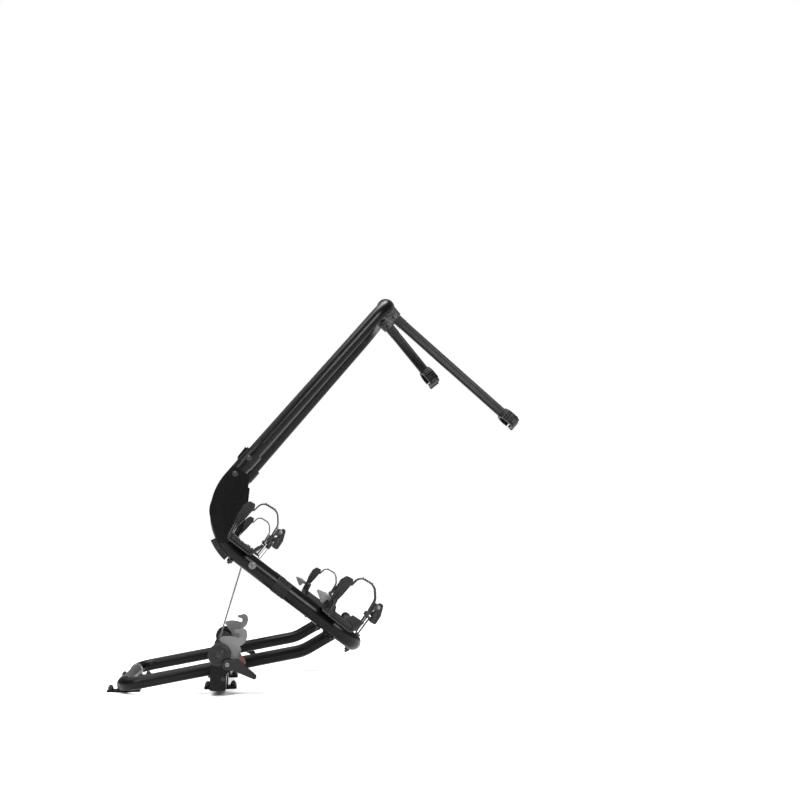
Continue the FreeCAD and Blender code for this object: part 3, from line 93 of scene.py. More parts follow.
# Takes a place on the level platform to its place in the shared frame, tilted as in the photo
PLATFORM = (Matrix.Translation(HINGE) @ Matrix.Rotation(TILT, 4, "Y")
            @ Matrix.Translation((0, 0, -PLATFORM_DROP)))


def make_camera():
    """Camera at the photograph's place and angle."""
    data = bpy.data.cameras.new("camera")
    data.sensor_width = SENSOR_MM
    data.lens = FOCAL_PIXELS * SENSOR_MM / FRAME_PIXELS
    data.clip_end = CAMERA_REACH
    camera = bpy.data.objects.new("camera", data)
    look = Vector((math.sin(CAMERA_YAW) * math.cos(CAMERA_PITCH),
                   math.cos(CAMERA_YAW) * math.cos(CAMERA_PITCH),
                   math.sin(CAMERA_PITCH)))
    camera.location = HINGE + CAMERA_FROM_HINGE
    camera.rotation_mode = "QUATERNION"
    camera.rotation_quaternion = look.to_track_quat("-Z", "Y")
    bpy.context.scene.collection.objects.link(camera)
    bpy.context.scene.camera = camera


# Materials

class Nodes:
    """Adds shader nodes to a new material and links them."""

    def __init__(self, name):
        self.material = bpy.data.materials.new(name)
        self.material.use_nodes = True
        self.tree = self.material.node_tree
        self.shader = self.tree.nodes["Principled BSDF"]
        coordinates = self.tree.nodes.new("ShaderNodeTexCoord")
        self.place = coordinates.outputs["Object"]

    def link(self, source, target):
        self.tree.links.new(source, target)

    def set(self, name, value):
        self.shader.inputs[name].default_value = value

    def noise(self, scale, detail=3.0, roughness=0.55, stretch=None):
        """Noise in object space; stretch squeezes it along each axis."""
        node = self.tree.nodes.new("ShaderNodeTexNoise")
        node.inputs["Scale"].default_value = scale
        node.inputs["Detail"].default_value = detail
        node.inputs["Roughness"].default_value = roughness
        source = self.place
        if stretch is not None:
            mapping = self.tree.nodes.new("ShaderNodeMapping")
            mapping.inputs["Scale"].default_value = stretch
            self.link(source, mapping.inputs["Vector"])
            source = mapping.outputs["Vector"]
        self.link(source, node.inputs["Vector"])
        return node.outputs["Fac"]

    def cells(self, scale):
        """Distance to the nearest cell centre of a Voronoi pattern."""
        node = self.tree.nodes.new("ShaderNodeTexVoronoi")
        node.inputs["Scale"].default_value = scale
        self.link(self.place, node.inputs["Vector"])
        return node.outputs["Distance"]

    def ramp(self, source, stops):
        """Colour ramp with stops of (position, colour)."""
        node = self.tree.nodes.new("ShaderNodeValToRGB")
        elements = node.color_ramp.elements
        elements[0].position, elements[0].color = stops[0]
        elements[1].position, elements[1].color = stops[-1]
        for position, colour in stops[1:-1]:
            elements.new(position).color = colour
        self.link(source, node.inputs["Fac"])
        return node.outputs["Color"]

    def remap(self, source, low, high, start=0.3, end=0.7):
        """Value scaled to a range."""
        node = self.tree.nodes.new("ShaderNodeMapRange")
        node.inputs["From Min"].default_value = start
        node.inputs["From Max"].default_value = end
        node.inputs["To Min"].default_value = low
        node.inputs["To Max"].default_value = high
        self.link(source, node.inputs["Value"])
        return node.outputs["Result"]

    def bump(self, source, distance, below=None):
        """Bump from a height, over another bump if one is given."""
        node = self.tree.nodes.new("ShaderNodeBump")
        node.inputs["Strength"].default_value = 1.0
        node.inputs["Distance"].default_value = distance
        self.link(source, node.inputs["Height"])
        if below is not None:
            self.link(below, node.inputs["Normal"])
        return node.outputs["Normal"]

    def mix(self, factor, one, plain):
        """Mix of a linked colour and a plain one."""
        node = self.tree.nodes.new("ShaderNodeMix")
        node.data_type = "RGBA"
        self.link(factor, node.inputs[0])
        self.link(one, node.inputs[6])
        node.inputs[7].default_value = plain
        return node.outputs[2]

    def finish(self, colour, roughness, normal):
        """Joins the results to the shader and returns the material."""
        self.link(colour, self.shader.inputs["Base Color"])
        self.link(roughness, self.shader.inputs["Roughness"])
        self.link(normal, self.shader.inputs["Normal"])
        return self.material


def grey(value, tint=0.0):
    """Neutral colour, a little blue with a positive tint."""
    return (value * (1 - tint * 0.5), value, value * (1 + tint), 1.0)


def powder_coat():
    """Black paint with a fine orange peel, dust and rubbed patches."""
    m = Nodes("powder_coat")
    cloud = m.noise(9.0, detail=4.0)
    colour = m.ramp(cloud, [(0.25, grey(0.0014, 0.10)), (0.55, grey(0.0020, 0.10)),
                            (0.8, grey(0.0036, 0.08))])
    scuffs = m.noise(60.0, detail=6.0, roughness=0.7, stretch=(1.0, 1.0, 0.35))
    roughness = m.remap(scuffs, 0.27, 0.34)
    peel = m.bump(m.noise(420.0, detail=1.0), 0.000003)
    waves = m.bump(m.noise(70.0, detail=1.0), 0.00001, below=peel)
    m.set("Specular IOR Level", 0.11)
    return m.finish(colour, roughness, waves)


def rail_coat():
    """Black anodised channel with drawing lines along its length."""
    m = Nodes("rail_coat")
    lines = m.noise(220.0, detail=2.0, stretch=(6.0, 0.08, 6.0))
    colour = m.ramp(lines, [(0.3, grey(0.006, 0.12)), (0.7, grey(0.011, 0.12))])
    roughness = m.remap(m.noise(40.0), 0.30, 0.44)
    m.set("Specular IOR Level", 0.2)
    return m.finish(colour, roughness, m.bump(lines, 0.00003))


def moulded_plastic(name, dark, light, grain=0.00001, low=0.38, high=0.52):
    """Black moulded plastic with a fine spark-eroded grain."""
    m = Nodes(name)
    cloud = m.noise(22.0, detail=3.0)
    colour = m.ramp(cloud, [(0.3, dark), (0.7, light)])
    roughness = m.remap(m.noise(90.0, detail=4.0), low, high)
    m.set("Specular IOR Level", 0.24)
    return m.finish(colour, roughness, m.bump(m.noise(900.0, detail=2.0), grain))


def zinc_plate():
    """Matt zinc plating with soft blotches and fine handling scratches."""
    m = Nodes("zinc_plate")
    cloud = m.noise(34.0, detail=5.0, roughness=0.6)
    spangle = m.cells(420.0)
    base = m.ramp(cloud, [(0.25, grey(0.068, 0.02)), (0.5, grey(0.092, 0.02)),
                          (0.78, grey(0.125, 0.01))])
    colour = m.mix(m.remap(spangle, 0.0, 0.22, 0.0, 1.0), base, grey(0.116, 0.02))
    scratches = m.noise(300.0, detail=2.0, stretch=(1.0, 1.0, 7.0))
    roughness = m.remap(scratches, 0.38, 0.56)
    m.set("Metallic", 0.6)
    return m.finish(colour, roughness, m.bump(scratches, 0.00006))


def steel(name, dark, light, low, high):
    """Plated fastener steel with turned marks and dulled patches."""
    m = Nodes(name)
    colour = m.ramp(m.noise(120.0, detail=3.0), [(0.3, grey(dark, 0.03)), (0.7, grey(light, 0.02))])
    roughness = m.remap(m.noise(260.0, detail=4.0), low, high)
    m.set("Metallic", 0.9)
    return m.finish(colour, roughness, m.bump(m.noise(900.0), 0.00004))


def black_bolt():
    """Black oxide fastener."""
    m = Nodes("black_bolt")
    colour = m.ramp(m.noise(150.0), [(0.3, grey(0.010, 0.1)), (0.7, grey(0.022, 0.08))])
    roughness = m.remap(m.noise(300.0, detail=4.0), 0.28, 0.45)
    m.set("Metallic", 0.5)
    return m.finish(colour, roughness, m.bump(m.noise(1100.0), 0.00005))


def grey_tube():
    """Galvanised tube, drawn along its length."""
    m = Nodes("grey_tube")
    lines = m.noise(180.0, detail=3.0, stretch=(7.0, 0.15, 7.0))
    cloud = m.noise(26.0, detail=4.0)
    base = m.ramp(cloud, [(0.3, grey(0.036, 0.03)), (0.7, grey(0.070, 0.03))])
    colour = m.mix(m.remap(lines, 0.0, 0.3), base, grey(0.095, 0.02))
    m.set("Metallic", 0.6)
    return m.finish(colour, m.remap(lines, 0.34, 0.5), m.bump(lines, 0.00006))


def wire_steel():
    """Steel wire of rope and springs."""
    m = Nodes("wire_steel")
    colour = m.ramp(m.noise(500.0, detail=3.0), [(0.3, grey(0.085, 0.02)), (0.7, grey(0.20, 0.01))])
    m.set("Metallic", 0.85)
    return m.finish(colour, m.remap(m.noise(700.0), 0.28, 0.45), m.bump(m.noise(2600.0), 0.00003))


def coloured_plastic(name, dark, light, low, high):
    """Coloured moulding with soft variation and a fine grain."""
    m = Nodes(name)
    colour = m.ramp(m.noise(60.0), [(0.3, dark), (0.7, light)])
    return m.finish(colour, m.remap(m.noise(150.0), low, high), m.bump(m.noise(1800.0), 0.00007))


def rubber():
    """Matt black rubber."""
    m = Nodes("rubber")
    cloud = m.noise(40.0, detail=4.0)
    colour = m.ramp(cloud, [(0.3, grey(0.0035, 0.05)), (0.75, grey(0.0075, 0.04))])
    m.set("Specular IOR Level", 0.18)
    roughness = m.remap(m.noise(80.0, detail=4.0), 0.42, 0.6)
    return m.finish(colour, roughness, m.bump(m.noise(900.0), 0.000012))


# One material for each slot of the frame
MATERIALS = {
    "black_paint": powder_coat(),
    "rail_paint": rail_coat(),
    "black_plastic": moulded_plastic("black_plastic", grey(0.0026, 0.05), grey(0.0052, 0.05)),
    "strap_plastic": moulded_plastic("strap_plastic", grey(0.008, 0.03), grey(0.016, 0.03),
                                     0.000008, 0.34, 0.48),
    "zinc_plate": zinc_plate(),
    "bright_steel": steel("bright_steel", 0.28, 0.44, 0.22, 0.42),
    "grey_tube": grey_tube(),
    "spring_steel": wire_steel(),
    "red_plastic": coloured_plastic("red_plastic", (0.032, 0.003, 0.006, 1),
                                    (0.055, 0.004, 0.009, 1), 0.34, 0.5),
    "black_bolt": black_bolt(),
}
MATERIALS["rope_steel"] = MATERIALS["spring_steel"]

# Materials of single pieces, used in place of the material of their kind's slot
DULL_STEEL = steel("dull_steel", 0.08, 0.16, 0.34, 0.52)
DULL_NODES = ("latch_bolts", "lever_screws")
GLOSS_PLASTIC = moulded_plastic("gloss_plastic", grey(0.007, 0.05), grey(0.012, 0.05),
                                0.000006, 0.22, 0.34)
WING_PLASTIC = coloured_plastic("tongue_plastic", grey(0.045, 0.03), grey(0.075, 0.02), 0.45, 0.6)
RUBBER = rubber()


def dress_cad_nodes():
    """Gives each CAD node its material: that of its slot, or dull steel."""
    slots = {row["node"]: row["material_slot"] for row in frame["record"]["subparts"]}
    for name, node in frame["nodes"].items():
        node.data.materials.clear()
        node.data.materials.append(DULL_STEEL if name in DULL_NODES else MATERIALS[slots[name]])


# Forms

def to_mesh(mesh, name):
    """Turns a bmesh into mesh data and frees it."""
    bmesh.ops.recalc_face_normals(mesh, faces=mesh.faces)
    data = bpy.data.meshes.new(name)
    mesh.to_mesh(data)
    mesh.free()
    return data


def new_piece(name, mesh, body, slot, material=None, angle=35.0):
    """Turns a bmesh into a piece that rides on a body, smooth but for edges over the angle."""
    data = to_mesh(mesh, name)
    piece = bpy.data.objects.new(name, data)
    bpy.context.scene.collection.objects.link(piece)
    data.materials.append(material or MATERIALS[slot])
    data.polygons.foreach_set("use_smooth", [True] * len(data.polygons))
    data.set_sharp_from_angle(angle=math.radians(angle))
    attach(piece, body)
    return piece


def frame_for(origin, axis, across=None):
    """Matrix with its Z along the axis and its X towards across."""
    z = Vector(axis).normalized()
    x = Vector(across) if across is not None else z.orthogonal()
    x = (x - z * x.dot(z)).normalized()
    y = z.cross(x)
    turn = Matrix((x, y, z)).transposed().to_4x4()
    return Matrix.Translation(origin) @ turn


def on_circle(radius, turn, height=0.0):
    """Point at a radius, an angle and a height about Z."""
    return Vector((radius * math.cos(turn), radius * math.sin(turn), height))


def skin(mesh, pairs, ends):
    """Joins pairs of rings with faces, and closes the first and last of the end rings."""
    for ring, following in pairs:
        for j in range(len(ring)):
            k = (j + 1) % len(ring)
            mesh.faces.new((ring[j], ring[k], following[k], following[j]))
    if ends:
        mesh.faces.new(list(reversed(ends[0])))
        mesh.faces.new(ends[-1])


def lathe(mesh, profile, matrix, sides=32):
    """Adds a turned form from a profile of (radius, height) about the matrix's Z."""
    rings = [[mesh.verts.new(matrix @ on_circle(radius, 2 * math.pi * j / sides, height))
              for j in range(sides)] for radius, height in profile]
    skin(mesh, zip(rings, rings[1:]), rings if profile[0] != profile[-1] else None)


def tube_along(mesh, path, radius, sides=8, closed=False):
    """Adds a round bar along a list of points."""
    count = len(path)
    rings = []
    side = None
    for i, point in enumerate(path):
        ahead = path[(i + 1) % count] if closed else path[min(i + 1, count - 1)]
        behind = path[(i - 1) % count] if closed else path[max(i - 1, 0)]
        along = (ahead - behind).normalized()
        if side is None:
            side = along.orthogonal().normalized()
        side = (side - along * side.dot(along)).normalized()
        other = along.cross(side)
        ring = []
        for j in range(sides):
            turn = 2 * math.pi * j / sides
            out = side * (radius * math.cos(turn)) + other * (radius * math.sin(turn))
            ring.append(mesh.verts.new(point + out))
        rings.append(ring)
    pairs = list(zip(rings, rings[1:]))
    if closed:
        pairs.append((rings[-1], rings[0]))
    skin(mesh, pairs, None if closed else rings)


def prism(mesh, outline, matrix, y_from, y_to, bevel=0.0, segments=2):
    """Adds an (x, z) outline made thick along the matrix's Y, with rounded edges."""
    part = bmesh.new()
    low = [part.verts.new((x, y_from, z)) for x, z in outline]
    high = [part.verts.new((x, y_to, z)) for x, z in outline]
    part.faces.new(low)
    part.faces.new(list(reversed(high)))
    for i in range(len(outline)):
        k = (i + 1) % len(outline)
        part.faces.new((low[k], low[i], high[i], high[k]))
    bmesh.ops.recalc_face_normals(part, faces=part.faces)
    if bevel > 0:
        bmesh.ops.bevel(part, geom=part.edges[:], offset=bevel, segments=segments, profile=0.5,
                        affect="EDGES", clamp_overlap=True)
    bmesh.ops.transform(part, matrix=matrix, verts=part.verts)
    data = bpy.data.meshes.new("part")
    part.to_mesh(data)
    part.free()
    mesh.from_mesh(data)
    bpy.data.meshes.remove(data)


def brick(mesh, matrix, x, y, z, bevel):
    """Adds a box from ranges of x, y and z, with rounded edges."""
    prism(mesh, [(x[0], z[0]), (x[1], z[0]), (x[1], z[1]), (x[0], z[1])], matrix, y[0], y[1], bevel)


# Rope: six strands laid round a core

ROPE_RADIUS = 0.0023
STRANDS = 6
STRAND_RADIUS = 0.00078
STRAND_LAY = 0.042
STRAND_STEP = 0.0014
ROPE_TURNS = 3
ROPE_PITCH = 0.0047
ROPE_Y = -ROPE_TURNS * ROPE_PITCH / 2
ROPE_LEAN = math.radians(15.8)
ROPE_LENGTH = 0.2687
WINDING_RADIUS = 0.01235
TURN_LENGTH = math.hypot(2 * math.pi * WINDING_RADIUS, ROPE_PITCH)
ACROSS = Vector((0, 1, 0))
ROPE_AWAY = Vector((math.sin(ROPE_LEAN), 0, math.cos(ROPE_LEAN)))
ROPE_START = (WINCH + Vector((-math.cos(ROPE_LEAN), 0, math.sin(ROPE_LEAN))) * WINDING_RADIUS
              + Vector((0, ROPE_Y, 0)))


def strands(name, place, length, body):
    """The strands and the core, along a centre line given by place(distance)."""
    mesh = bmesh.new()
    steps = max(8, int(length / STRAND_STEP))
    for strand in range(STRANDS + 1):
        offset = 0.0 if strand == STRANDS else ROPE_RADIUS - STRAND_RADIUS
        path = []
        for i in range(steps + 1):
            at = length * i / steps
            centre, side, other = place(at)
            turn = 2 * math.pi * (at / STRAND_LAY + strand / STRANDS)
            path.append(centre + side * (offset * math.cos(turn)) + other * (offset * math.sin(turn)))
        tube_along(mesh, path, STRAND_RADIUS, sides=6)
    return new_piece(name, mesh, body, "rope_steel", angle=60.0)


def straight_place(at):
    """Centre and cross directions of the taut rope."""
    return ROPE_START + ROPE_AWAY * at, ACROSS, ROPE_AWAY.cross(ACROSS)


def winding_place(at):
    """Centre and cross directions of the turns on the drum."""
    turns = at / TURN_LENGTH
    turn = math.pi - ROPE_LEAN + 2 * math.pi * turns
    outward = Vector((math.cos(turn), 0, math.sin(turn)))
    centre = Vector((WINCH.x, 0, WINCH.z)) + outward * WINDING_RADIUS
    return centre + Vector((0, ROPE_Y + ROPE_PITCH * turns, 0)), outward, ACROSS


def make_rope():
    """Twisted wire rope: the taut run and the turns left on the drum."""
    rope = strands("rope_run", straight_place, ROPE_LENGTH, "base")
    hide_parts("winch_rope")
    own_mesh(rope)
    turns = strands("rope_turns", winding_place, ROPE_TURNS * TURN_LENGTH, "winch")
    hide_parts("rope_windings")


# Welds

WELD_BEAD = 0.0022
WELD_STEP = 0.0016
WELD_PROUD = 0.0006
WELD_BACK = 0.0004
WELD_SIDES = 7
RIPPLE_HEIGHT = 0.00035
RIPPLE_TURN = 2.2
SADDLE_BEAD = 0.0016
SADDLE_WELD_LENGTH = 0.006
SADDLE_WELD_OUT = 0.012


def ripple(i):
    """Height of the weld's ripple at a step."""
    return RIPPLE_HEIGHT * math.sin(i * RIPPLE_TURN)


def weld_ring(mesh, origin, axis, radius):
    """Adds a rippled weld bead round a tube."""
    matrix = frame_for(origin, axis, ACROSS)
    steps = max(12, int(2 * math.pi * radius / WELD_STEP))
    path = [matrix @ on_circle(radius + ripple(i), 2 * math.pi * i / steps) for i in range(steps)]
    tube_along(mesh, path, WELD_BEAD, WELD_SIDES, closed=True)


def weld_line(mesh, start, end):
    """Adds a short rippled weld bead between two points."""
    steps = max(4, int((end - start).length / WELD_STEP))
    path = [start.lerp(end, i / steps) + Vector((0, 0, ripple(i))) for i in range(steps + 1)]
    tube_along(mesh, path, SADDLE_BEAD, WELD_SIDES)


def make_welds():
    """Weld beads of the base: round the tube ends, and along the saddles' edges."""
    end_along = Vector((math.cos(BASE_END_RISE), 0, math.sin(BASE_END_RISE)))
    end_x, end_z = BASE_END_FROM_HINGE
    level = HINGE.z + SADDLE_TOP_FROM_HINGE + WELD_PROUD
    mesh = bmesh.new()
    for _, side in SIDES:
        end = HINGE + Vector((end_x, side * BASE_HALF, end_z))
        weld_ring(mesh, end - end_along * WELD_BACK, end_along, BASE_RADIUS + WELD_PROUD)
        for x in SADDLE_EDGES_FROM_HINGE:
            for y in (BASE_HALF - SADDLE_WELD_OUT, BASE_HALF + SADDLE_WELD_OUT):
                start = Vector((HINGE.x + x, side * (y - SADDLE_WELD_LENGTH / 2), level))
                weld_line(mesh, start, start + Vector((0, side * SADDLE_WELD_LENGTH, 0)))
    new_piece("base_welds", mesh, "base", "black_paint")


# Platform

SLEEVE_X = -0.200
SLEEVE_LENGTH = 0.040
SLEEVE_RIBS = 9
SLEEVE_BORE = TUBE_RADIUS + 0.0002
SLEEVE_RADIUS = TUBE_RADIUS + 0.0008
SLEEVE_RIB_RADIUS = TUBE_RADIUS + 0.0019
SLEEVE_RIB_FOOT_HALF = 0.0014
SLEEVE_RIB_TOP_HALF = 0.0007
CAP_HALF = RAIL_WIDTH / 2 - 0.0021
CAP_DEPTH = 0.016
CAP_PROUD = 0.0012
CAP_BOTTOM = TUBE_RADIUS + 0.0022
CAP_TOP = TUBE_RADIUS + 0.0115
CAP_EDGE = 0.0014
CAP_RIBS = 5
CAP_RIB_PITCH = 0.010
CAP_RIB_HALF = 0.0012
CAP_RIB_SUNK = 0.0005
CAP_RIB_PROUD = 0.0010
CAP_RIB_EDGE = 0.0004


def make_sleeves():
    """Ribbed rubber sleeve round each platform tube."""
    for name, side in SIDES:
        mesh = bmesh.new()
        profile = [(SLEEVE_BORE, 0.0)]
        for i in range(SLEEVE_RIBS):
            at = SLEEVE_LENGTH * (i + 0.5) / SLEEVE_RIBS
            profile += [(SLEEVE_RADIUS, at - SLEEVE_RIB_FOOT_HALF),
                        (SLEEVE_RIB_RADIUS, at - SLEEVE_RIB_TOP_HALF),
                        (SLEEVE_RIB_RADIUS, at + SLEEVE_RIB_TOP_HALF),
                        (SLEEVE_RADIUS, at + SLEEVE_RIB_FOOT_HALF)]
        profile.append((SLEEVE_BORE, SLEEVE_LENGTH))
        start = Vector((SLEEVE_X, side * PLATFORM_HALF, 0))
        matrix = PLATFORM @ frame_for(start, (1, 0, 0), ACROSS)
        lathe(mesh, profile + [profile[0]], matrix, sides=40)
        new_piece("tube_sleeve_" + name, mesh, "platform", "black_plastic", RUBBER)


def make_rail_caps():
    """Moulded caps in the open ends of both rails."""
    for row, x in ROWS:
        for name, side in SIDES:
            mesh = bmesh.new()
            y = sorted((side * (RAIL_HALF - CAP_DEPTH), side * (RAIL_HALF + CAP_PROUD)))
            brick(mesh, PLATFORM, (x - CAP_HALF, x + CAP_HALF), y, (CAP_BOTTOM, CAP_TOP), CAP_EDGE)
            for i in range(CAP_RIBS):
                rib_x = x + CAP_RIB_PITCH * (i - (CAP_RIBS - 1) / 2)
                brick(mesh, PLATFORM, (rib_x - CAP_RIB_HALF, rib_x + CAP_RIB_HALF), y,
                      (CAP_TOP - CAP_RIB_SUNK, CAP_TOP + CAP_RIB_PROUD), CAP_RIB_EDGE)
            new_piece("rail_cap_" + row + "_" + name, mesh, "platform", "black_plastic")


# Wheel holders. Outlines are (x, z) from the middle of the rail and the underside of the cup.

RIM_BEAD = 0.0023
RIM_INSET = 0.003
RIM_STEPS = 12
RIM_EDGES = ((-0.0378, 0.0372), (0.0398, 0.0332))
END_BEAD = 0.0018
END_INSET = 0.0022
CUP_SECTION = ((-0.0385, 0.037), (-0.0352, 0.017), (-0.0335, 0.008), (-0.0312, 0.0026),
               (-0.0270, 0.0010), (0.0270, 0.0010), (0.0312, 0.0026), (0.0335, 0.008),
               (0.0370, 0.021), (0.0405, 0.033))
RIB_COUNT = 9
RIB_FIRST = 0.022
RIB_PITCH = 0.0245
RIB_HALF = 0.0016
RIB_EDGE = 0.0005
RIB_CLEAR_OF_STRAP = 0.030
RIB_OUTLINES = (((-0.0335, 0.009), (-0.0372, 0.014), (-0.0400, 0.031), (-0.0382, 0.035)),
                ((0.0335, 0.009), (0.0372, 0.013), (0.0418, 0.028), (0.0402, 0.031)))
WING_HALF = 0.0090
WING = ((-0.0425, 0.036), (-0.064, 0.036), (-0.080, 0.0305), (-0.081, 0.0285), (-0.070, 0.022),
        (-0.056, 0.013), (-0.052, 0.016), (-0.050, 0.026), (-0.0425, 0.028))
LOOP_HALF = 0.0105
ANCHOR_LOOP = ((0.0472, 0.052), (0.0472, 0.010), (0.0490, 0.0065), (0.0525, 0.0065), (0.0545, 0.010),
               (0.0545, 0.052), (0.0533, 0.052), (0.0533, 0.0108), (0.0520, 0.0080), (0.0495, 0.0080),
               (0.0484, 0.0108), (0.0484, 0.052))
MOULDED_EDGE = 0.0010
PIVOT = (0.0550, 0.082)
EAR_FACE = 0.0175
PIN_HEAD = ((0.0041, -0.0002), (0.0043, 0.0006), (0.0036, 0.0015), (0.0016, 0.0019))
BUCKLE_HALF = 0.0128
BUCKLE_SHELL = ((0.0570, 0.047), (0.0565, 0.056), (0.0520, 0.058), (0.0516, 0.066), (0.0552, 0.0705),
                (0.0600, 0.0725), (0.0665, 0.066), (0.0702, 0.0495), (0.0715, 0.0465), (0.0660, 0.0450),
                (0.0580, 0.0450))

# Boxes of the anchor loop: half width, ranges of x and z, rounding
LOOP_FOOT = (0.0085, (0.0430, 0.0490), (0.0085, 0.0125), 0.0006)
LOOP_HEAD = (0.0135, (0.0440, 0.0552), (0.0485, 0.0540), MOULDED_EDGE)

# Rows of small bars: half width, place of the first, step to the next, count, and each
# bar's own ranges of x and z
WING_BARS = (0.0080, (-0.0775, 0.0318), (0.0040, 0.0011), 6, (-0.0008, 0.0008), (-0.0008, 0.0012))
STRAP_TEETH = (0.0085, (0.0418, 0.088), (0.00012, -0.0026), 11, (0.0006, 0.0030), (-0.0007, 0.0007))
GRIP_BARS = (BUCKLE_HALF, (0.0720, 0.0505), (-0.00022, 0.0032), 7, (-0.0008, 0.0010), (-0.0007, 0.0007))
BAR_EDGE = 0.0003


def cup_prism(mesh, x, outline, y, half, bevel=0.0, segments=2):
    """Adds an outline of a wheel holder, made thick to both sides of y."""
    prism(mesh, [(x + dx, CUP_LOW + dz) for dx, dz in outline], PLATFORM,
          y - half, y + half, bevel, segments)


def cup_brick(mesh, x, y, half, dx, dz, bevel):
    """Adds a box to a wheel holder, from ranges of dx and dz."""
    brick(mesh, PLATFORM, (x + dx[0], x + dx[1]), (y - half, y + half),
          (CUP_LOW + dz[0], CUP_LOW + dz[1]), bevel)


def cross_bars(mesh, x, y, row):
    """Adds a row of small bars that lie across a strap, wing or lever."""
    half, first, step, count, dx, dz = row
    for i in range(count):
        at = Vector((x + first[0] + step[0] * i, 0, CUP_LOW + first[1] + step[1] * i))
        brick(mesh, PLATFORM @ Matrix.Translation(at), dx, (y - half, y + half), dz, BAR_EDGE)


def cup_rim(mesh, x, side):
    """Adds a bead along the cup's upper edges and round its two ends."""
    outer = side * CUP_OUTER
    inner = side * (CUP_OUTER - CUP_LENGTH)
    length = inner - outer + side * 2 * RIM_INSET
    for dx, dz in RIM_EDGES:
        path = [PLATFORM @ Vector((x + dx, outer - side * RIM_INSET + length * i / RIM_STEPS,
                                   CUP_LOW + dz)) for i in range(RIM_STEPS + 1)]
        tube_along(mesh, path, RIM_BEAD)
    for y in (outer - side * END_INSET, inner + side * END_INSET):
        path = [PLATFORM @ Vector((x + dx, y, CUP_LOW + dz)) for dx, dz in CUP_SECTION]
        tube_along(mesh, path, END_BEAD)


def cup_ribs(mesh, x, side):
    """Adds the ribs of the cup's flanks, except beside the strap."""
    for i in range(RIB_COUNT):
        y = side * CUP_OUTER - side * (RIB_FIRST + RIB_PITCH * i)
        if abs(y - side * CUP_MIDDLE) < RIB_CLEAR_OF_STRAP:
            continue
        for outline in RIB_OUTLINES:
            cup_prism(mesh, x, outline, y, RIB_HALF, RIB_EDGE, segments=1)


def buckle_pins(mesh, x, middle):
    """Adds the domed heads of the buckle's pin."""
    pivot = PLATFORM @ Vector((x + PIVOT[0], middle, CUP_LOW + PIVOT[1]))
    for sign in (-1, 1):
        matrix = frame_for(pivot + Vector((0, sign * EAR_FACE, 0)), (0, sign, 0))
        lathe(mesh, PIN_HEAD, matrix, sides=20)


def make_holder_details():
    """Rim, ribs, grey wing, anchor loop, strap teeth, pin heads and lever of each wheel holder."""
    for row, x in ROWS:
        for name, side in SIDES:
            place = "_" + row + "_" + name
            body = "holder" + place
            lever = "buckle" + place
            middle = side * CUP_MIDDLE

            mesh = bmesh.new()
            cup_rim(mesh, x, side)
            new_piece("cup_rim" + place, mesh, body, "black_plastic", GLOSS_PLASTIC)

            mesh = bmesh.new()
            cup_ribs(mesh, x, side)
            new_piece("cup_ribs" + place, mesh, body, "black_plastic")

            if row == "front":
                mesh = bmesh.new()
                cup_prism(mesh, x, WING, middle, WING_HALF, MOULDED_EDGE)
                cross_bars(mesh, x, middle, WING_BARS)
                new_piece("strap_tail" + place, mesh, body, "strap_plastic", WING_PLASTIC)

            mesh = bmesh.new()
            cup_prism(mesh, x, ANCHOR_LOOP, middle, LOOP_HALF)
            cup_brick(mesh, x, middle, *LOOP_FOOT)
            cup_brick(mesh, x, middle, *LOOP_HEAD)
            new_piece("anchor_loop" + place, mesh, body, "strap_plastic")

            mesh = bmesh.new()
            cross_bars(mesh, x, middle, STRAP_TEETH)
            new_piece("strap_teeth" + place, mesh, body, "strap_plastic")

            mesh = bmesh.new()
            buckle_pins(mesh, x, middle)
            new_piece("buckle_pins" + place, mesh, body, "bright_steel", DULL_STEEL)

            mesh = bmesh.new()
            cup_prism(mesh, x, BUCKLE_SHELL, middle, BUCKLE_HALF, MOULDED_EDGE)
            new_piece("buckle_shell" + place, mesh, lever, "black_plastic")

            mesh = bmesh.new()
            cross_bars(mesh, x, middle, GRIP_BARS)
            new_piece("buckle_grip" + place, mesh, lever, "black_plastic")


# Arms. Places are along the arm from the axis of the top bar.

CLAMP_SCREW_X = 0.0345
CLAMP_FACE = 0.0110
CLAMP_SCREW = ((0.0072, 0.0), (0.0072, 0.0012), (0.0050, 0.0014), (0.0050, 0.0052), (0.0043, 0.0060),
               (0.0026, 0.0060), (0.0026, 0.0036), (0.0004, 0.0036))
BOOT_RINGS = 4
BOOT_START = 0.0460
BOOT_PITCH = 0.0060
BOOT_RING = 0.0040
BOOT_HALF_Y = 0.0088
BOOT_HALF_Z = 0.0138
BOOT_EDGE = 0.0012
CLAW_RIBS = 14
CLAW_RIB = ((-0.0008, 0.0012), (-0.0022, 0.0022), (-0.0125, 0.0125), 0.0006)
CLAW_RIB_RADIUS = 0.0274
CLAW_RIB_FIRST_DEG = 80
CLAW_RIB_SWEEP_DEG = 200


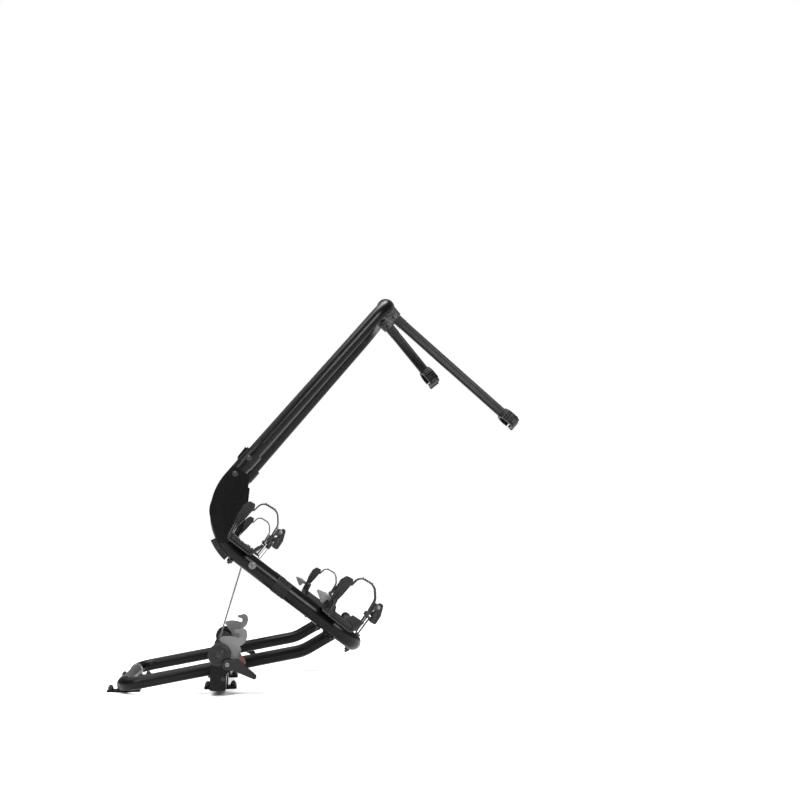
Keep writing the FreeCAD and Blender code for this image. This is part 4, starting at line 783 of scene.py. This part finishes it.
def make_arm_details():
    """Clamp screws, rubber boots and pad ribs of the two bike arms."""
    for name, y, reach, droop in ARMS:
        turn = Matrix.Rotation(TILT + math.radians(droop), 4, "Y")
        arm = Matrix.Translation(Vector((MAST_TOP.x, y, MAST_TOP.z))) @ turn
        body = "arm_" + name

        mesh = bmesh.new()
        for sign in (-1, 1):
            seat = Vector((CLAMP_SCREW_X, sign * CLAMP_FACE, 0.0))
            lathe(mesh, CLAMP_SCREW, arm @ frame_for(seat, (0, sign, 0)), sides=24)
        new_piece("clamp_screws_" + name, mesh, body, "black_bolt")

        mesh = bmesh.new()
        for i in range(BOOT_RINGS):
            at = BOOT_START + BOOT_PITCH * i
            brick(mesh, arm, (at, at + BOOT_RING), (-BOOT_HALF_Y, BOOT_HALF_Y),
                  (-BOOT_HALF_Z, BOOT_HALF_Z), BOOT_EDGE)
        new_piece("arm_boot_" + name, mesh, body, "black_plastic", RUBBER)

        mesh = bmesh.new()
        for i in range(CLAW_RIBS):
            angle = math.radians(CLAW_RIB_FIRST_DEG + CLAW_RIB_SWEEP_DEG * i / (CLAW_RIBS - 1))
            place = Vector((reach, 0, 0)) + on_circle(CLAW_RIB_RADIUS, -angle)
            matrix = arm @ Matrix.Translation(place) @ Matrix.Rotation(-angle, 4, "Z")
            brick(mesh, matrix, *CLAW_RIB)
        new_piece("claw_ribs_" + name, mesh, body, "black_plastic", RUBBER)


# Latch and winch

SOCKET = ((0.0052, -0.0016), (0.0052, 0.0002), (0.0046, 0.0008), (0.0030, 0.0008), (0.0027, 0.0003),
          (0.0027, -0.0026), (0.0004, -0.0026))
HUB_CAP = ((0.0075, 0.0), (0.0075, 0.0008), (0.0066, 0.0013), (0.0030, 0.0015), (0.0024, 0.0009),
           (0.0004, 0.0009))
HUB_CAP_SUNK = 0.0013
COVER_RINGS = ((0.0118, 0.0004), (0.0225, 0.0010))
COVER_RING_BEAD = 0.0007
COVER_RING_STEPS = 48


def make_latch_details():
    """Steel socket rim in the head of each latch bolt."""
    for name, side in SIDES:
        mesh = bmesh.new()
        head = Vector((LATCH_BOLT_X, side * (HOOK_OUTER + LATCH_BOLT_HEAD), 0))
        lathe(mesh, SOCKET, PLATFORM @ frame_for(head, (0, side, 0)), sides=24)
        new_piece("latch_bolt_socket_" + name, mesh, "platform", "bright_steel", DULL_STEEL)


def make_winch_details():
    """Hub cap and rings of each winch cover."""
    for name, side in SIDES:
        mesh = bmesh.new()
        face = Vector((WINCH.x, side * COVER_FACE - side * HUB_CAP_SUNK, WINCH.z))
        matrix = frame_for(face, (0, side, 0))
        lathe(mesh, HUB_CAP, matrix)
        for radius, height in COVER_RINGS:
            ring = [matrix @ on_circle(radius, 2 * math.pi * i / COVER_RING_STEPS, height)
                    for i in range(COVER_RING_STEPS)]
            tube_along(mesh, ring, COVER_RING_BEAD, sides=6, closed=True)
        new_piece("cover_cap_" + name, mesh, "base", "black_plastic", GLOSS_PLASTIC)


# Stage

FLOOR_SIZE = 60.0
FLOOR_DROP = 0.0005
FLOOR_GREY = 0.92
SURROUND_LIGHT = 0.16
SKY_ENERGY = 3.1
SKY_ANGLE = math.radians(75)
SKY_TURN = (math.radians(-8), math.radians(-10), 0)
LIGHT_TARGET = Vector((-0.1, 0, 0.45))

# Name, place, size and power of each panel
LIGHTS = (("overhead", (0.0, -0.1, 3.0), (2.6, 0.9), 110.0),
          ("key", (-1.8, -2.5, 1.9), (1.4, 1.8), 80.0),
          ("right", (1.4, -2.6, 1.7), (1.4, 0.9), 112.0))


def make_surround():
    """White behind the object, with less light from the surround than the camera sees."""
    world = bpy.data.worlds.new("surround")
    world.use_nodes = True
    tree = world.node_tree
    background = tree.nodes["Background"]
    background.inputs["Color"].default_value = (1, 1, 1, 1)
    path = tree.nodes.new("ShaderNodeLightPath")
    remap = tree.nodes.new("ShaderNodeMapRange")
    remap.inputs["To Min"].default_value = SURROUND_LIGHT
    remap.inputs["To Max"].default_value = 1.0
    tree.links.new(path.outputs["Is Camera Ray"], remap.inputs["Value"])
    tree.links.new(remap.outputs["Result"], background.inputs["Strength"])
    bpy.context.scene.world = world


def make_floor():
    """Plain pale floor."""
    mesh = bmesh.new()
    bmesh.ops.create_grid(mesh, x_segments=2, y_segments=2, size=FLOOR_SIZE / 2)
    floor = bpy.data.objects.new("floor", to_mesh(mesh, "floor"))
    floor.location = (0, 0, -FLOOR_DROP)
    bpy.context.scene.collection.objects.link(floor)
    material = bpy.data.materials.new("floor")
    material.use_nodes = True
    shader = material.node_tree.nodes["Principled BSDF"]
    shader.inputs["Base Color"].default_value = (FLOOR_GREY, FLOOR_GREY, FLOOR_GREY, 1)
    shader.inputs["Roughness"].default_value = 0.95
    shader.inputs["Specular IOR Level"].default_value = 0.0
    floor.data.materials.append(material)


def make_lights():
    """Wide soft sky light, and panels overhead, at the front left and at the front right."""
    data = bpy.data.lights.new("sky", "SUN")
    data.energy = SKY_ENERGY
    data.angle = SKY_ANGLE
    light = bpy.data.objects.new("sky", data)
    light.rotation_euler = SKY_TURN
    bpy.context.scene.collection.objects.link(light)
    for name, place, size, power in LIGHTS:
        data = bpy.data.lights.new(name, "AREA")
        data.shape = "RECTANGLE"
        data.size, data.size_y = size
        data.energy = power
        light = bpy.data.objects.new(name, data)
        light.location = place
        light.rotation_mode = "QUATERNION"
        light.rotation_quaternion = (LIGHT_TARGET - Vector(place)).to_track_quat("-Z", "Y")
        bpy.context.scene.collection.objects.link(light)


bpy.context.scene.view_settings.view_transform = "Standard"
make_camera()
make_surround()
make_floor()
make_lights()
dress_cad_nodes()
make_rope()
make_welds()
make_sleeves()
make_rail_caps()
make_holder_details()
make_arm_details()
make_latch_details()
make_winch_details()
